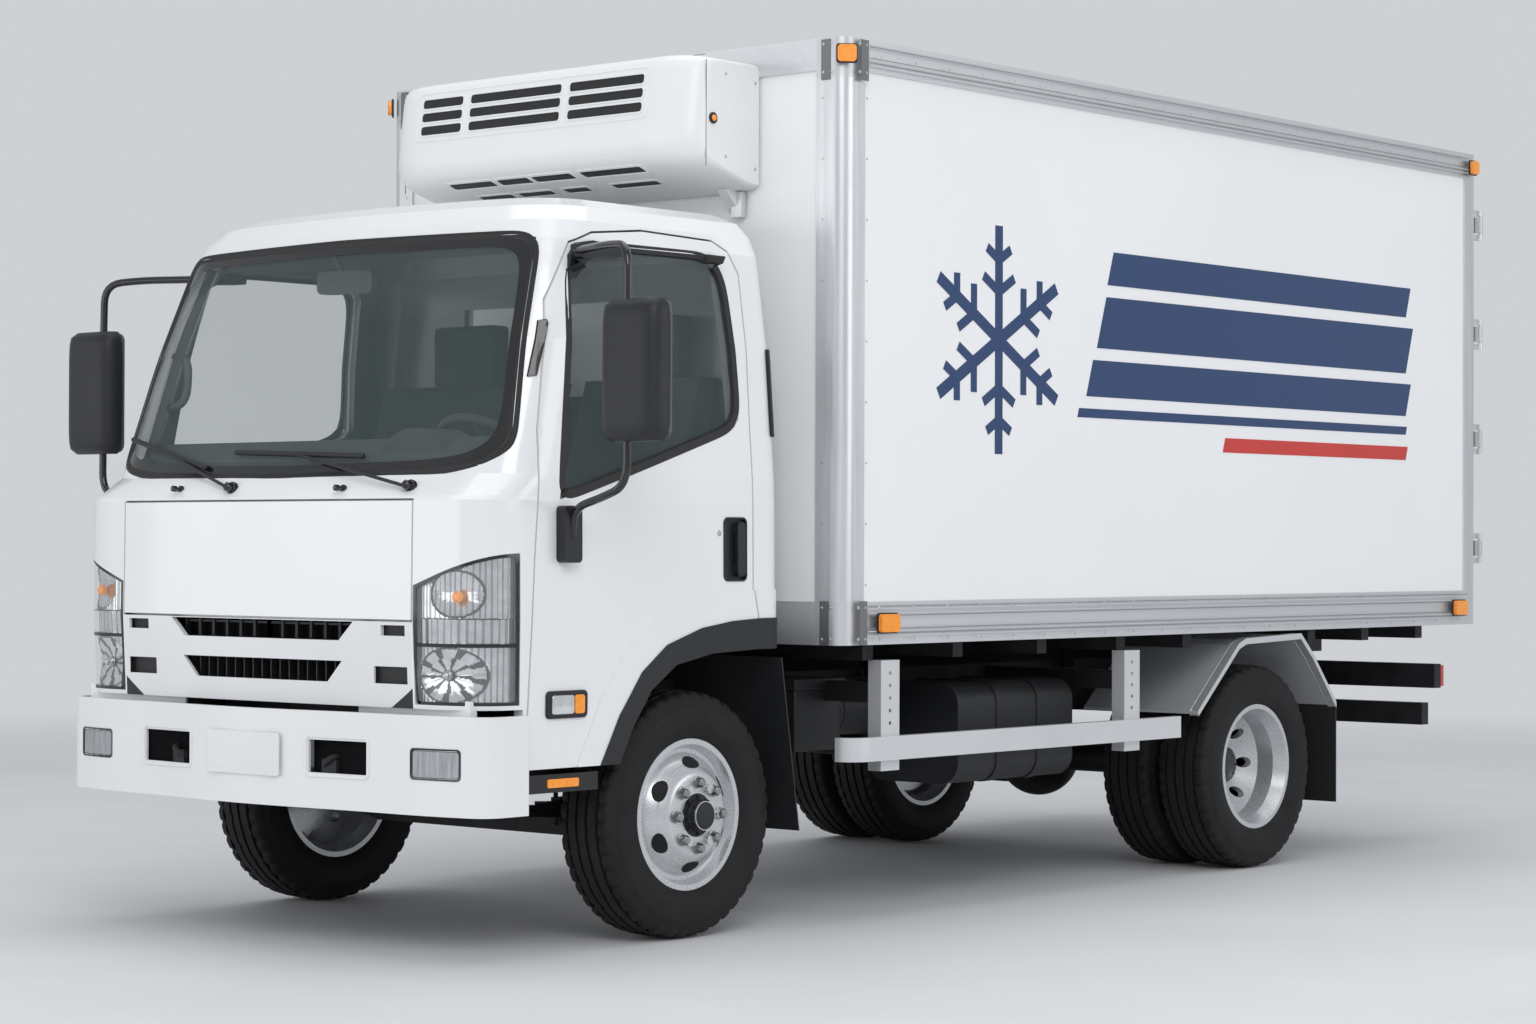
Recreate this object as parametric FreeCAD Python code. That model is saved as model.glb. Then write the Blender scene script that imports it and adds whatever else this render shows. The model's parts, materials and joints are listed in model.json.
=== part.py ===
import FreeCAD, Part
import math
import os

os.makedirs("parts", exist_ok=True)

# Small refrigerated delivery truck: tilting cab, ladder chassis, insulated box, nose-mounted cooling unit.
# Millimetres. X to the truck's left, front towards -Y, Z up from the road.
# The piece functions work from the front axle (y = 0 there); put() moves everything to the part's frame.

# overall
wheelbase = 2870
front_overhang = 950
rear_overhang = 1501
box_nose_y = 512
seat_gap = 0.3
move_gap = 6
over = 400
far = 1600

# wheels and tyres
tyre_radius = 357
tyre_width = 205
tyre_shoulder = 26
tread_groove_width = 9
tread_groove_depth = 8
tread_groove_share = (-0.27, -0.09, 0.09, 0.27)
bead_radius = 207
rim_width = 176
rim_wall = 5
rim_lip_radius = 218
rim_lip_width = 10
front_tyre_x = 745
rear_inner_tyre_x = 618
twin_spacing = 235
disc_wall = 9
nave_radius = 112
hand_hole_radius = 19
hand_hole_circle = 147
hand_hole_count = 8
hub_radius = 58
hub_cap_radius = 42
hub_cap_length = 34
nut_circle = 85
nut_radius = 13
nut_length = 16
nut_count = 6
drum_radius = 165
drum_width = 120
rear_spindle_radius = 34

# ladder frame
rail_outer_x = 350
rail_flange = 62
rail_wall = 6
rail_top_z = 715
rail_height = 170
rail_front_y = -724
rail_tail_gap = 213
front_member_ys = (-640, 1080, 1480)
member_before_axle = 620
member_after_axle = 430
member_before_tail = 118
cab_mount_y = 270
crossmember_depth = 60
crossmember_height = 110
bracket_front_y = -935
bracket_width = 54
bracket_lap = 170
pivot_post_half = 25
bracket_top_z = 536
bracket_low_z = 456
tow_bore_radius = 14
tow_bore_y = -870
service_box_x = 560
service_box_width = 140
service_box_y = 465
service_box_depth = 104
service_box_low_z = 456
service_box_top_z = 661
service_arm_height = 60

# axles, steering and springs
steer_pin_x = 660
steer_pin_radius = 14
beam_z = 300
beam_width = 62
beam_height = 58
beam_end_z = 357
beam_eye_radius = 30
beam_eye_half = 36
knuckle_gap = 6
knuckle_lug = 20
spindle_radius = 26
steer_arm_y = 135
steer_arm_wall = 22
tie_rod_radius = 12
ball_radius = 15
spring_x = 380
spring_width = 60
spring_leaf = 11
spring_leaf_count = 4
spring_half_length = 560
spring_camber = 70
hanger_lap = 22
rear_spring_x = 435
rear_spring_half_length = 640
rear_tube_radius = 52
rear_diff_radius = 150
rear_diff_half = 120
prop_radius = 36

# heavy blocks under the cab and behind it
engine_half_width = 262
engine_front_y = -250
engine_rear_y = 420
engine_low_z = 420
engine_top_z = 855
gearbox_half_width = 140
gearbox_rear_y = 1010
gearbox_low_z = 440
gearbox_top_z = 690

# cab shell
cab_half_width = 872
cab_front_y = -900
cab_rear_y = 364
cab_sill_z = 520
cab_top_z = 2130
cab_wall = 50
cab_front_wall = 80
cab_screen_wall = 46
cab_rear_wall = 40
cab_roof_wall = 36
cab_nose_low_z = 685
cab_tail_low_z = 920
cab_corner = 60

# each row: height, half width, nose set-back, bow, arc end, side start, rear set-in, as shares
# of the cab's height, half width and length
cab_section_share = (
    (0.000, 0.992, 0.0190, 0.0119, 0.800, 0.131, 0.0000),
    (0.105, 0.998, 0.0095, 0.0119, 0.800, 0.131, 0.0000),
    (0.252, 1.000, 0.0000, 0.0119, 0.800, 0.131, 0.0000),
    (0.455, 0.997, 0.0020, 0.0127, 0.800, 0.135, 0.0000),
    (0.462, 0.996, 0.0080, 0.0150, 0.800, 0.140, 0.0000),
    (0.500, 0.994, 0.0490, 0.0396, 0.800, 0.188, 0.0000),
    (0.733, 0.960, 0.1511, 0.0364, 0.770, 0.257, 0.0000),
    (0.910, 0.908, 0.2350, 0.0332, 0.723, 0.348, 0.0000),
    (0.944, 0.882, 0.2532, 0.0332, 0.690, 0.372, 0.0030),
    (0.972, 0.840, 0.2850, 0.0332, 0.642, 0.403, 0.0150),
    (0.989, 0.772, 0.3320, 0.0332, 0.575, 0.451, 0.0430),
    (0.9975, 0.667, 0.4030, 0.0300, 0.482, 0.522, 0.0900),
    (1.000, 0.516, 0.4900, 0.0250, 0.367, 0.601, 0.1600),
)

# cab openings, as shares: (y along the cab's length, z along its height)
door_outline_share = (
    (0.157, -0.050), (0.157, 0.010), (0.183, 0.354), (0.207, 0.574), (0.272, 0.798), (0.352, 0.901),
    (0.427, 0.922), (0.596, 0.935), (0.831, 0.930), (0.874, 0.913), (0.903, 0.873), (0.896, 0.589),
    (0.896, 0.298), (0.910, 0.250), (0.910, -0.050))
door_window_share = (
    (0.259, 0.456), (0.337, 0.866), (0.407, 0.902), (0.814, 0.903), (0.849, 0.869), (0.861, 0.607),
    (0.843, 0.592), (0.539, 0.520))
arch_outline_share = (
    (0.388, -0.080), (0.388, 0.001), (0.445, 0.085), (0.516, 0.158), (0.598, 0.204), (0.715, 0.232),
    (0.819, 0.243), (0.914, 0.247), (1.080, 0.248), (1.080, -0.080))
flare_outline_share = (
    (0.446, -0.080), (0.446, -0.002), (0.490, 0.066), (0.546, 0.126), (0.628, 0.168), (0.750, 0.186),
    (0.905, 0.191), (1.080, 0.191), (1.080, -0.080))
# (x along the half width, z along the height)
screen_outline_share = (
    (0.000, 0.4957), (0.706, 0.5031), (0.860, 0.5150), (0.938, 0.5435), (0.837, 0.9099), (0.800, 0.9150),
    (0.000, 0.9190))
rear_glass_half_width = 430
rear_glass_low_z = 1590
rear_glass_top_z = 1880
glass_depth = 4
glass_thickness = 6

# raised band round the arch, door handles
arch_band_share = (
    (0.318, -0.080), (0.318, 0.004), (0.387, 0.113), (0.483, 0.214), (0.614, 0.274), (0.784, 0.296),
    (1.080, 0.301), (1.080, -0.080))
arch_band_lift = 6
handle_y = 155
handle_z = 1119
handle_half_width = 51
handle_half_height = 93
handle_round = 18
handle_depth = 14
handle_lip = 3
handle_wall = 5
handle_grip_width = 34
handle_grip_gap = 14
handle_grip_stand = 12

# cab floor
floor_plate = 25
footwell_z = 585
footwell_inner_x = 372
footwell_side_room = 60
footwell_front_y = -830
footwell_rear_y = -430
tunnel_z = 805
platform_z = 880
platform_rear_y = 345
floor_tail = 34
tilt_pivot_y = -720
tilt_pivot_z = 752
tilt_tube_radius = 20
tilt_eye_radius = 34
tilt_eye_bore = 21

# front lid, grille and lamps
lid_width_share = 0.703
screen_reach_share = 0.36
vent_width_share = 0.72
lid_low_z = 926
lid_top_z = 1250
lid_thickness = 14
lid_pocket = 34
lid_stop_radius = 12
grille_depth = 16
upper_slot_share = (0.635, 0.538, 0.745, 0.965)
lower_slot_share = (0.555, 0.457, 0.265, 0.510)
side_slot_shares = ((0.812, 0.962, 0.815, 0.935), (0.760, 0.970, 0.270, 0.465))
rib_count = 18
rib_width = 4
rib_half_share = 0.535
rib_front = 32
comb_front = 22
comb_back = 64
comb_low_share = 0.20
comb_top_share = 0.60
comb_bar = 10
lamp_gap = 7
lamp_low_z = 697
lamp_inner_top_z = 1020
lamp_outer_top_z = 1116
lamp_depth = 45
lamp_recess = 2

# bumper
bumper_low_z = 400
bumper_top_z = 670
bumper_wall = 8
bumper_flange = 6
bumper_side_reach = 20
bumper_side_y = -712
bumper_plan_share = ((0.000, 0.000), (0.280, 0.060), (0.500, 0.130), (0.730, 0.170), (0.905, 0.270))
bumper_corner_share = (0.985, 0.400)
bumper_bend_share = (0.62, 0.75)
fog_width_share = (0.7175, 0.9050)
fog_low_z = 502
fog_top_z = 576
fog_recess = 2
fog_depth = 16
intake_width_share = (0.286, 0.529)
intake_low_z = 499
intake_top_z = 590

# insulated box
box_half_width = 980
box_panel_inset = 8
box_low_z = 833
box_wall = 60
box_floor_low_z = 863
box_floor_top_z = 953
rail_band = 130
rail_band_depth = 12
top_band = 96
post_width = 50
post_reach = 104
corner_radius = 46
rear_frame_depth = 71
rear_post_width = 78
rear_header = 110
bearer_share = (0.0487, 0.1653, 0.2820, 0.3985, 0.5022, 0.6084, 0.7147, 0.8132, 0.9168)
bearer_width = 50
bearer_low_z = 783
sill_width = 55

# rear doors
door_thickness = 70
hinge_axis_lead = 5
hinge_back = 40
hinge_radius = 10
hinge_pin_radius = 5
hinge_length = 60
hinge_lug = 22
hinge_plate = 6
hinge_share = (0.10, 0.37, 0.63, 0.90)
lock_pad_share = (0.02, 0.30, 0.62, 0.98)
lock_handle_share = 0.16
lock_rod_radius = 9
lock_rod_x = 130
lock_rod_stand = 18

# cooling unit on the box nose
unit_half_width = 650
unit_front_half_width = 625
unit_reach = 334
unit_over_cab = 73
unit_top_drop = 47
unit_front_drop = 377
unit_low_drop = 444
unit_wall = 20
unit_round = 55
unit_lean = 36
unit_bar = 12
unit_foot = 65
grille_half_width = 474
grille_row_z_share = (0.500, 0.610, 0.720, 0.830)
grille_column_shares = ((-1.0, -0.78), (-0.75, 0.11), (0.14, 1.0))
under_slot_shares = ((-0.80, -0.45), (-0.40, -0.05), (0.05, 0.40), (0.45, 0.80))
under_row_share = (0.30, 0.66)
under_slot_depth = 34
unit_seam_y = 268
unit_seam_width = 4
unit_bracket_x = 540
unit_bracket_width = 36
unit_bracket_drop = 62
unit_bracket_reach = 70
evaporator_depth = 260
evaporator_half_width = 480
evaporator_height = 190

# tank, guards and mudguards
tank_inner_x = 430
tank_outer_x = 800
tank_before_axle = 1550
tank_length = 630
tank_low_z = 368
tank_top_z = 690
tank_round = 70
strap_share = (0.359, 0.710)
strap_width = 45
strap_wall = 3
guard_inset = 10
guard_wall = 26
guard_low_z = 482
guard_top_z = 554
guard_front_y = 585
guard_before_axle = 523
guard_turn = 75
guard_front_post_y = 790
guard_post_before_axle = 780
guard_post_width = 90
guard_post_low_z = 448
guard_hole_radius = 6
guard_hole_pitch = 38
fender_inner_x = 500
fender_stay_share = 0.5
fender_wall = 4
fender_outline_share = (
    (-1.19, 1.583), (-0.46, 2.207), (-0.336, 2.252), (0.686, 2.283), (0.916, 2.076), (1.364, 1.577))
flap_low_z = 205
flap_wall = 6
front_guard_wall = 5
front_guard_inner_x = 430
front_guard_arm_z = 610
front_guard_arm = 50
front_guard_top_y = 362
front_guard_low_y = 444
front_guard_low_z = 284
front_guard_top_z = 800
step_width = 150
step_front_y = -690
step_rear_y = -422
step_low_z = 455
step_top_z = 505
step_wall = 6
board_low_z = 590
board_top_z = 682
board_depth = 50
lamp_box_width = 230
lamp_box_depth = 42
lamp_box_edge = 6
lamp_box_round = 12
lamp_chambers = 3
bar_low_z = 448
bar_top_z = 532

# mirrors
mirror_reach = 282
mirror_head_y = -572
mirror_head_z = 1600
mirror_half_width = 108
mirror_half_height = 190
mirror_depth = 74
mirror_side_depth = 30
mirror_rim = 12
mirror_recess = 4
mirror_tube_radius = 9
mirror_top_plate_share = (
    (0.336, 0.841), (0.366, 0.841), (0.391, 0.865), (0.505, 0.884), (0.508, 0.902), (0.405, 0.909),
    (0.358, 0.903), (0.342, 0.880))
mirror_low_plate_share = ((0.250, 0.350), (0.300, 0.350), (0.300, 0.446), (0.250, 0.446))
mirror_plate = 14
mirror_cup = 32
mirror_arm_top_reach = 238
mirror_arm_low_reach = 223
mirror_root_in = 80
mirror_root_y = -440
mirror_root_z = 1948
mirror_foot_y = -560
mirror_foot_z = 1220
mirror_arm_top_z = 1936
mirror_arm_low_z = 1275

# inside the cab
dash_side_room = 72
dash_rear_y = -472
dash_low_z = 1040
dash_top_z = 1432
dash_outline_share = ((0.00, 0.00), (0.00, 0.64), (0.30, 0.86), (0.62, 1.00), (0.94, 0.97), (1.00, 0.70),
                      (0.80, 0.10), (0.60, 0.00))
hood_radius = 165
hood_drop = 140
hood_depth = 150
hood_set_back = 62
wheel_offset = 30
wheel_y = -347
wheel_z = 1371
wheel_radius = 200
wheel_rim_radius = 15
wheel_tilt = 40
wheel_hub_radius = 55
wheel_hub_depth = 34
wheel_spoke_width = 34
wheel_spoke_wall = 9
wheel_spoke_turns = (0, 180, 270)
column_radius = 30
column_length = 250
seat_side_room = 442
seat_half_width = 235
bench_gap = 135
bench_side_room = 172
cushion_front_y = -230
cushion_rear_y = 190
cushion_top_z = 1120
back_rear_y = 312
back_wall = 120
back_top_z = 1630
headrest_half_width = 135
headrest_top_z = 1820
headrest_wall = 80
bench_headrest_x = 345
seat_round = 30

# wipers
wiper_radius = 5
wiper_blade_radius = 8
wiper_stand = 14
wiper_seat = 2
wiper_pivot_z = 1288
wiper_pivot_share = (-0.171, 0.657)
wiper_blade_share = (((-0.860, 0.573), (-0.370, 0.517)), ((-0.219, 0.543), (0.390, 0.532)))


y_front = -front_overhang
box_rear_y = wheelbase + rear_overhang
hinge_axis_x = box_half_width + hinge_axis_lead
hinge_axis_y = box_rear_y + hinge_back
y_rear = hinge_axis_y + hinge_radius
y_shift = -(y_front + y_rear) / 2
rail_rear_y = box_rear_y - rail_tail_gap
crossmember_ys = front_member_ys + (wheelbase - member_before_axle, wheelbase + member_after_axle,
                                    rail_rear_y - member_before_tail)
bearer_ys = [box_nose_y + share * (box_rear_y - box_nose_y) for share in bearer_share]
footwell_outer_x = cab_half_width - footwell_side_room
lid_half_width = lid_width_share * cab_half_width
lamp_inner_x = lid_half_width + lamp_gap
bumper_half_width = cab_half_width + bumper_side_reach
fog_inner_x, fog_outer_x = [share * bumper_half_width for share in fog_width_share]
intake_inner_x, intake_outer_x = [share * bumper_half_width for share in intake_width_share]
unit_front_y = box_nose_y - unit_reach
box_top_z = cab_top_z + unit_over_cab + unit_low_drop
unit_top_z = box_top_z - unit_top_drop
unit_front_low_z = box_top_z - unit_front_drop
unit_low_z = box_top_z - unit_low_drop
tank_front_y = wheelbase - tank_before_axle
tank_rear_y = tank_front_y + tank_length
strap_ys = [tank_front_y + share * tank_length for share in strap_share]
guard_x = box_half_width - guard_inset
guard_rear_y = wheelbase - guard_before_axle
guard_post_ys = (guard_front_post_y, wheelbase - guard_post_before_axle)
fender_outer_x = box_half_width - box_panel_inset
step_inner_x = cab_half_width - step_width
panel_x = box_half_width - box_panel_inset
mirror_head_x = cab_half_width + mirror_reach
mirror_arm_top_x = cab_half_width + mirror_arm_top_reach
mirror_arm_low_x = cab_half_width + mirror_arm_low_reach
dash_half_width = cab_half_width - dash_side_room
seat_x = cab_half_width - seat_side_room
wheel_x = seat_x - wheel_offset
bench_inner_x = seat_x - seat_half_width - bench_gap
bench_outer_x = cab_half_width - bench_side_room

AX = FreeCAD.Vector(1, 0, 0)
AY = FreeCAD.Vector(0, 1, 0)
AZ = FreeCAD.Vector(0, 0, 1)
O = FreeCAD.Vector(0, 0, 0)


def vec(x, y, z):
    return FreeCAD.Vector(x, y, z)


def block(x0, x1, y0, y1, z0, z1):
    return Part.makeBox(x1 - x0, y1 - y0, z1 - z0, vec(x0, y0, z0))


def rod_x(x0, x1, y, z, radius):
    return Part.makeCylinder(radius, x1 - x0, vec(x0, y, z), AX)


def rod_y(y0, y1, x, z, radius):
    return Part.makeCylinder(radius, y1 - y0, vec(x, y0, z), AY)


def rod_z(z0, z1, x, y, radius):
    return Part.makeCylinder(radius, z1 - z0, vec(x, y, z0), AZ)


def face_of(points):
    return Part.Face(Part.makePolygon(points + [points[0]]))


def slab_x(yz, x0, x1):
    return face_of([vec(x0, y, z) for y, z in yz]).extrude(AX * (x1 - x0))


def slab_y(xz, y0, y1):
    return face_of([vec(x, y0, z) for x, z in xz]).extrude(AY * (y1 - y0))


def slab_z(xy, z0, z1):
    return face_of([vec(x, y, z0) for x, y in xy]).extrude(AZ * (z1 - z0))


def mirrored(shape):
    return shape.mirror(O, AX)


def group(*shapes):
    return Part.makeCompound(list(shapes))


def both(shape):
    return group(shape, mirrored(shape))


def fused(shapes):
    shapes = list(shapes)
    if len(shapes) == 1:
        return shapes[0]
    return shapes[0].multiFuse(shapes[1:])


def tube_path(points, radius):
    pieces = []
    for start, end in zip(points, points[1:]):
        run = end - start
        pieces.append(Part.makeCylinder(radius, run.Length, start, run))
        pieces.append(Part.makeSphere(radius, end))
    pieces.append(Part.makeSphere(radius, points[0]))
    return fused(pieces)


def put(node, shape):
    placed = shape.copy()
    placed.translate(vec(0, y_shift, 0))
    placed.exportStep("parts/" + node + ".step")


# cab form
cab_length = cab_rear_y - cab_front_y
cab_height = cab_top_z - cab_sill_z


def cab_wire(row, side_in, front_in, rear_in, drop):
    h, w, back, bow, arc, side, tail = row
    z = cab_sill_z + h * cab_height - drop
    half = w * cab_half_width - side_in
    nose = cab_front_y + back * cab_length + front_in
    end_x = arc * cab_half_width - side_in
    end_y = nose + bow * cab_length
    side_y = max(cab_front_y + side * cab_length, end_y + (half - end_x))
    slope = 2 * bow * cab_length / end_x
    pole = vec(half, end_y + slope * (half - end_x), z)
    rear = cab_rear_y - tail * cab_length - rear_in
    corner = cab_corner * w
    a = vec(end_x, end_y, z)
    b = vec(half, side_y, z)
    c = vec(half, rear - corner, z)
    d = vec(half - corner, rear, z)
    a2, b2, c2, d2 = [vec(-p.x, p.y, p.z) for p in (a, b, c, d)]
    pole2 = vec(-pole.x, pole.y, pole.z)

    def bend(p, q, r):
        curve = Part.BezierCurve()
        curve.setPoles([p, q, r])
        return curve.toShape()

    edges = [
        Part.Arc(a2, vec(0, nose, z), a).toShape(),
        bend(a, pole, b),
        Part.makeLine(b, c),
        bend(c, vec(half, rear, z), d),
        Part.makeLine(d, d2),
        bend(d2, vec(-half, rear, z), c2),
        Part.makeLine(c2, b2),
        bend(b2, pole2, a2),
    ]
    return Part.Wire(edges)


def cab_form(side_in=0, front_in=0, screen_in=0, rear_in=0, roof_in=0):
    wires = []
    last_body_row = 4
    last_wall_row = 7
    for i, row in enumerate(cab_section_share):
        front = front_in if i <= last_body_row else screen_in
        drop = roof_in if i > last_wall_row else 0
        wires.append(cab_wire(row, side_in, front, rear_in, drop))
    return Part.makeLoft(wires, True, True)


def along_cab(shares):
    return [(cab_front_y + a * cab_length, cab_sill_z + b * cab_height) for a, b in shares]


def across_cab(shares):
    right = [(-a * cab_half_width, cab_sill_z + b * cab_height) for a, b in shares if a > 0]
    left = [(a * cab_half_width, cab_sill_z + b * cab_height) for a, b in shares]
    return left + right[::-1]


def grown(face, gap):
    return Part.Face(face.makeOffset2D(gap, 2).OuterWire) if gap else face


def side_prism(shares, x0, x1, gap=0):
    yz = along_cab(shares)
    face = face_of([vec(x0, y, z) for y, z in yz])
    return grown(face, gap).extrude(AX * (x1 - x0))


def door_prism(gap=0):
    return side_prism(door_outline_share, footwell_outer_x - cab_wall - cab_wall, bumper_half_width + over, gap)


def screen_prism(gap=0):
    xz = across_cab(screen_outline_share)
    y0 = cab_front_y - over
    face = face_of([vec(x, y0, z) for x, z in xz])
    return grown(face, gap).extrude(AY * (over + screen_reach_share * cab_length))


def band(prism, depth0, depth1):
    skin = cab_form(depth0, depth0, depth0, depth0, depth0)
    core = cab_form(depth1, depth1, depth1, depth1, depth1)
    return skin.common(prism).cut(core)


def lamp_prism():
    xz = [(lamp_inner_x, lamp_low_z), (lamp_inner_x, lamp_inner_top_z), (bumper_half_width, lamp_outer_top_z),
          (bumper_half_width, lamp_low_z)]
    return slab_y(xz, cab_front_y - over, tilt_pivot_y - knuckle_gap)


def lid_prism(gap):
    return block(-lid_half_width - gap, lid_half_width + gap, cab_front_y - over, footwell_front_y + over,
                 lid_low_z - gap, lid_top_z + gap)


def grille_prism():
    return block(-lid_half_width, lid_half_width, cab_front_y - over, footwell_front_y + over,
                 cab_nose_low_z, lid_low_z - move_gap)


def cab_walls():
    outer = cab_form()
    inner = cab_form(cab_wall, cab_front_wall, cab_screen_wall, cab_rear_wall, cab_roof_wall)
    shell = outer.cut(inner)
    lifted = cab_form(-arch_band_lift).cut(cab_form(cab_wall / 2))
    lifted = lifted.common(side_prism(arch_band_share, cab_half_width / 2, far))
    shell = shell.fuse(lifted).fuse(mirrored(lifted))
    nose_under = block(-far, far, cab_front_y - over, tilt_pivot_y + move_gap, 0, cab_nose_low_z)
    arch = side_prism(arch_outline_share, -far, far)
    bottom = block(-cab_half_width + cab_wall, cab_half_width - cab_wall, cab_front_y, cab_rear_y + over,
                   0, cab_nose_low_z)
    return shell.cut(nose_under).cut(arch).cut(bottom)


def cab_floor():
    well = [
        block(footwell_inner_x, footwell_outer_x, footwell_front_y, footwell_rear_y,
              footwell_z, footwell_z + floor_plate),
        block(footwell_inner_x, footwell_outer_x, footwell_rear_y - floor_plate, footwell_rear_y,
              footwell_z, platform_z + floor_plate),
        block(footwell_inner_x, footwell_inner_x + floor_plate, footwell_front_y, footwell_rear_y,
              footwell_z, tunnel_z + floor_plate),
        block(footwell_inner_x, footwell_outer_x, footwell_front_y - floor_plate, footwell_front_y,
              footwell_z, cab_nose_low_z + floor_plate),
    ]
    tunnel = block(-footwell_inner_x - floor_plate, footwell_inner_x + floor_plate, footwell_front_y,
                   footwell_rear_y, tunnel_z, tunnel_z + floor_plate)
    tunnel_back = block(-footwell_inner_x, footwell_inner_x, footwell_rear_y - floor_plate, footwell_rear_y,
                        tunnel_z, platform_z + floor_plate)
    platform = block(-footwell_outer_x, footwell_outer_x, footwell_rear_y, platform_rear_y,
                     platform_z, platform_z + floor_plate)
    tail = block(-footwell_outer_x - floor_plate, footwell_outer_x + floor_plate, platform_rear_y - floor_tail,
                 platform_rear_y, platform_z, cab_tail_low_z + floor_plate)
    eye = tilt_eye(footwell_inner_x)
    parts = [tunnel, tunnel_back, platform, tail]
    for piece in well + [eye]:
        parts.append(piece)
        parts.append(mirrored(piece))
    return fused(parts)


def tilt_eye(x1):
    x0 = x1 - floor_plate + knuckle_gap
    arm = block(x0, x1, tilt_pivot_y - tilt_eye_radius, tilt_pivot_y + tilt_eye_radius,
                tilt_pivot_z, tunnel_z + floor_plate)
    eye = arm.fuse(rod_x(x0, x1, tilt_pivot_y, tilt_pivot_z, tilt_eye_radius))
    return eye.cut(rod_x(x0 - over, x1 + over, tilt_pivot_y, tilt_pivot_z, tilt_eye_bore))


def make_cab():
    walls = cab_walls()
    door_left = walls.common(door_prism())
    hole = door_prism(move_gap)
    shell = walls.cut(hole).cut(mirrored(hole))
    shell = shell.fuse(cab_floor())
    shell = shell.cut(screen_prism())
    rear_window = block(-rear_glass_half_width, rear_glass_half_width, cab_rear_y - over / 2, cab_rear_y + over,
                        rear_glass_low_z, rear_glass_top_z)
    shell = shell.cut(rear_window)
    skin_core = cab_form(lid_pocket, lid_pocket, lid_pocket, lid_pocket, lid_pocket)
    shell = shell.cut(lid_prism(move_gap).cut(skin_core))
    lamp = band(lamp_prism(), lamp_recess, lamp_depth)
    lamp_hole = band(lamp_prism(), -lamp_recess, lamp_depth)
    shell = shell.cut(lamp_hole).cut(mirrored(lamp_hole))
    vent_x = vent_width_share * lid_half_width
    vent = block(-vent_x, vent_x, cab_front_y - over, footwell_front_y + floor_plate, cab_nose_low_z,
                 lid_low_z - move_gap)
    stop_x = lid_half_width - lid_pocket * 3
    stop_prism = rod_y(cab_front_y - over, footwell_front_y, stop_x, lid_low_z + lid_pocket, lid_stop_radius)
    stop = band(stop_prism, lid_thickness + seat_gap, lid_pocket)
    shell = shell.fuse(stop).fuse(mirrored(stop))
    shell = shell.cut(grille_prism().cut(cab_form(grille_depth, grille_depth, grille_depth, 0, 0)))
    shell = shell.cut(vent)
    put("cab_shell", shell)

    screen = band(screen_prism(), glass_depth, glass_depth + glass_thickness)
    put("cab_glass", group(screen, block(-rear_glass_half_width, rear_glass_half_width, cab_rear_y - cab_rear_wall / 2,
                                   cab_rear_y - cab_rear_wall / 2 + glass_thickness, rear_glass_low_z,
                                   rear_glass_top_z)))

    window = side_prism(door_window_share, footwell_outer_x - cab_wall - cab_wall, bumper_half_width + over)
    door_left = door_left.cut(window)
    glass = band(window, glass_depth + glass_depth, glass_depth + glass_depth + glass_thickness)
    door_left = make_handles(door_left)
    put("door_left", door_left)
    put("door_right", mirrored(door_left))
    put("door_glass_left", glass)
    put("door_glass_right", mirrored(glass))

    put("front_lid", band(lid_prism(0), 0, lid_thickness))
    put("headlamps", both(lamp))
    make_grille()
    make_flares()
    return shell, door_left


def handle_prism(inset=0):
    half_y = handle_half_width - inset
    half_z = handle_half_height - inset
    prism = block(cab_half_width - cab_wall, cab_half_width + over, handle_y - half_y, handle_y + half_y,
                  handle_z - half_z, handle_z + half_z)
    return prism.makeFillet(handle_round - inset, [e for e in prism.Edges if e.BoundBox.XLength > cab_wall])


def make_handles(door):
    cup = band(handle_prism(), -handle_lip, handle_depth)
    cup = cup.cut(band(handle_prism(handle_wall), -handle_lip - handle_lip, handle_depth - handle_wall))
    low_z = handle_z - handle_half_height + handle_grip_gap
    top_z = handle_z + handle_half_height - handle_grip_gap
    bar = block(cab_half_width - cab_wall, cab_half_width + over, handle_y, handle_y + handle_grip_width, low_z,
                top_z)
    bar = bar.makeFillet(handle_grip_gap, [e for e in bar.Edges if e.BoundBox.XLength > cab_wall])
    grip = band(bar, -handle_grip_stand, handle_depth - handle_wall)
    reach = block(0, far, handle_y - handle_grip_gap, handle_y + handle_grip_width + handle_grip_gap,
                  low_z + handle_grip_width, top_z - handle_grip_width)
    grip = grip.cut(band(reach, 0, handle_depth))
    handle = cup.fuse(grip)
    put("door_handle_left", handle)
    put("door_handle_right", mirrored(handle))
    return door.cut(band(handle_prism(-seat_gap), -handle_lip, handle_depth + seat_gap))


def make_grille():
    panel = band(grille_prism(), 0, grille_depth)
    tall = lid_low_z - cab_nose_low_z
    panel = panel.cut(slot_cut(*upper_slot_share)).cut(slot_cut(*lower_slot_share))
    for x0, x1, z0, z1 in side_slot_shares:
        piece = block(x0 * lid_half_width, x1 * lid_half_width, cab_front_y - over, footwell_front_y,
                      cab_nose_low_z + z0 * tall, cab_nose_low_z + z1 * tall)
        panel = panel.cut(piece).cut(mirrored(piece))
    put("grille_panel", group(panel, grille_comb(tall)))


def grille_comb(tall):
    half = rib_half_share * lid_half_width
    low_z = cab_nose_low_z + comb_low_share * tall
    top_z = cab_nose_low_z + comb_top_share * tall
    back_y = cab_front_y + comb_back
    pieces = []
    for i in range(rib_count):
        x = -half + i * half / (rib_count - 1) * 2
        pieces.append(block(x - rib_width / 2, x + rib_width / 2, cab_front_y + rib_front, back_y, low_z, top_z))
    for z in (low_z, top_z - comb_bar):
        pieces.append(block(-half, half, cab_front_y + comb_front, back_y, z, z + comb_bar))
    return fused(pieces)


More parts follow.
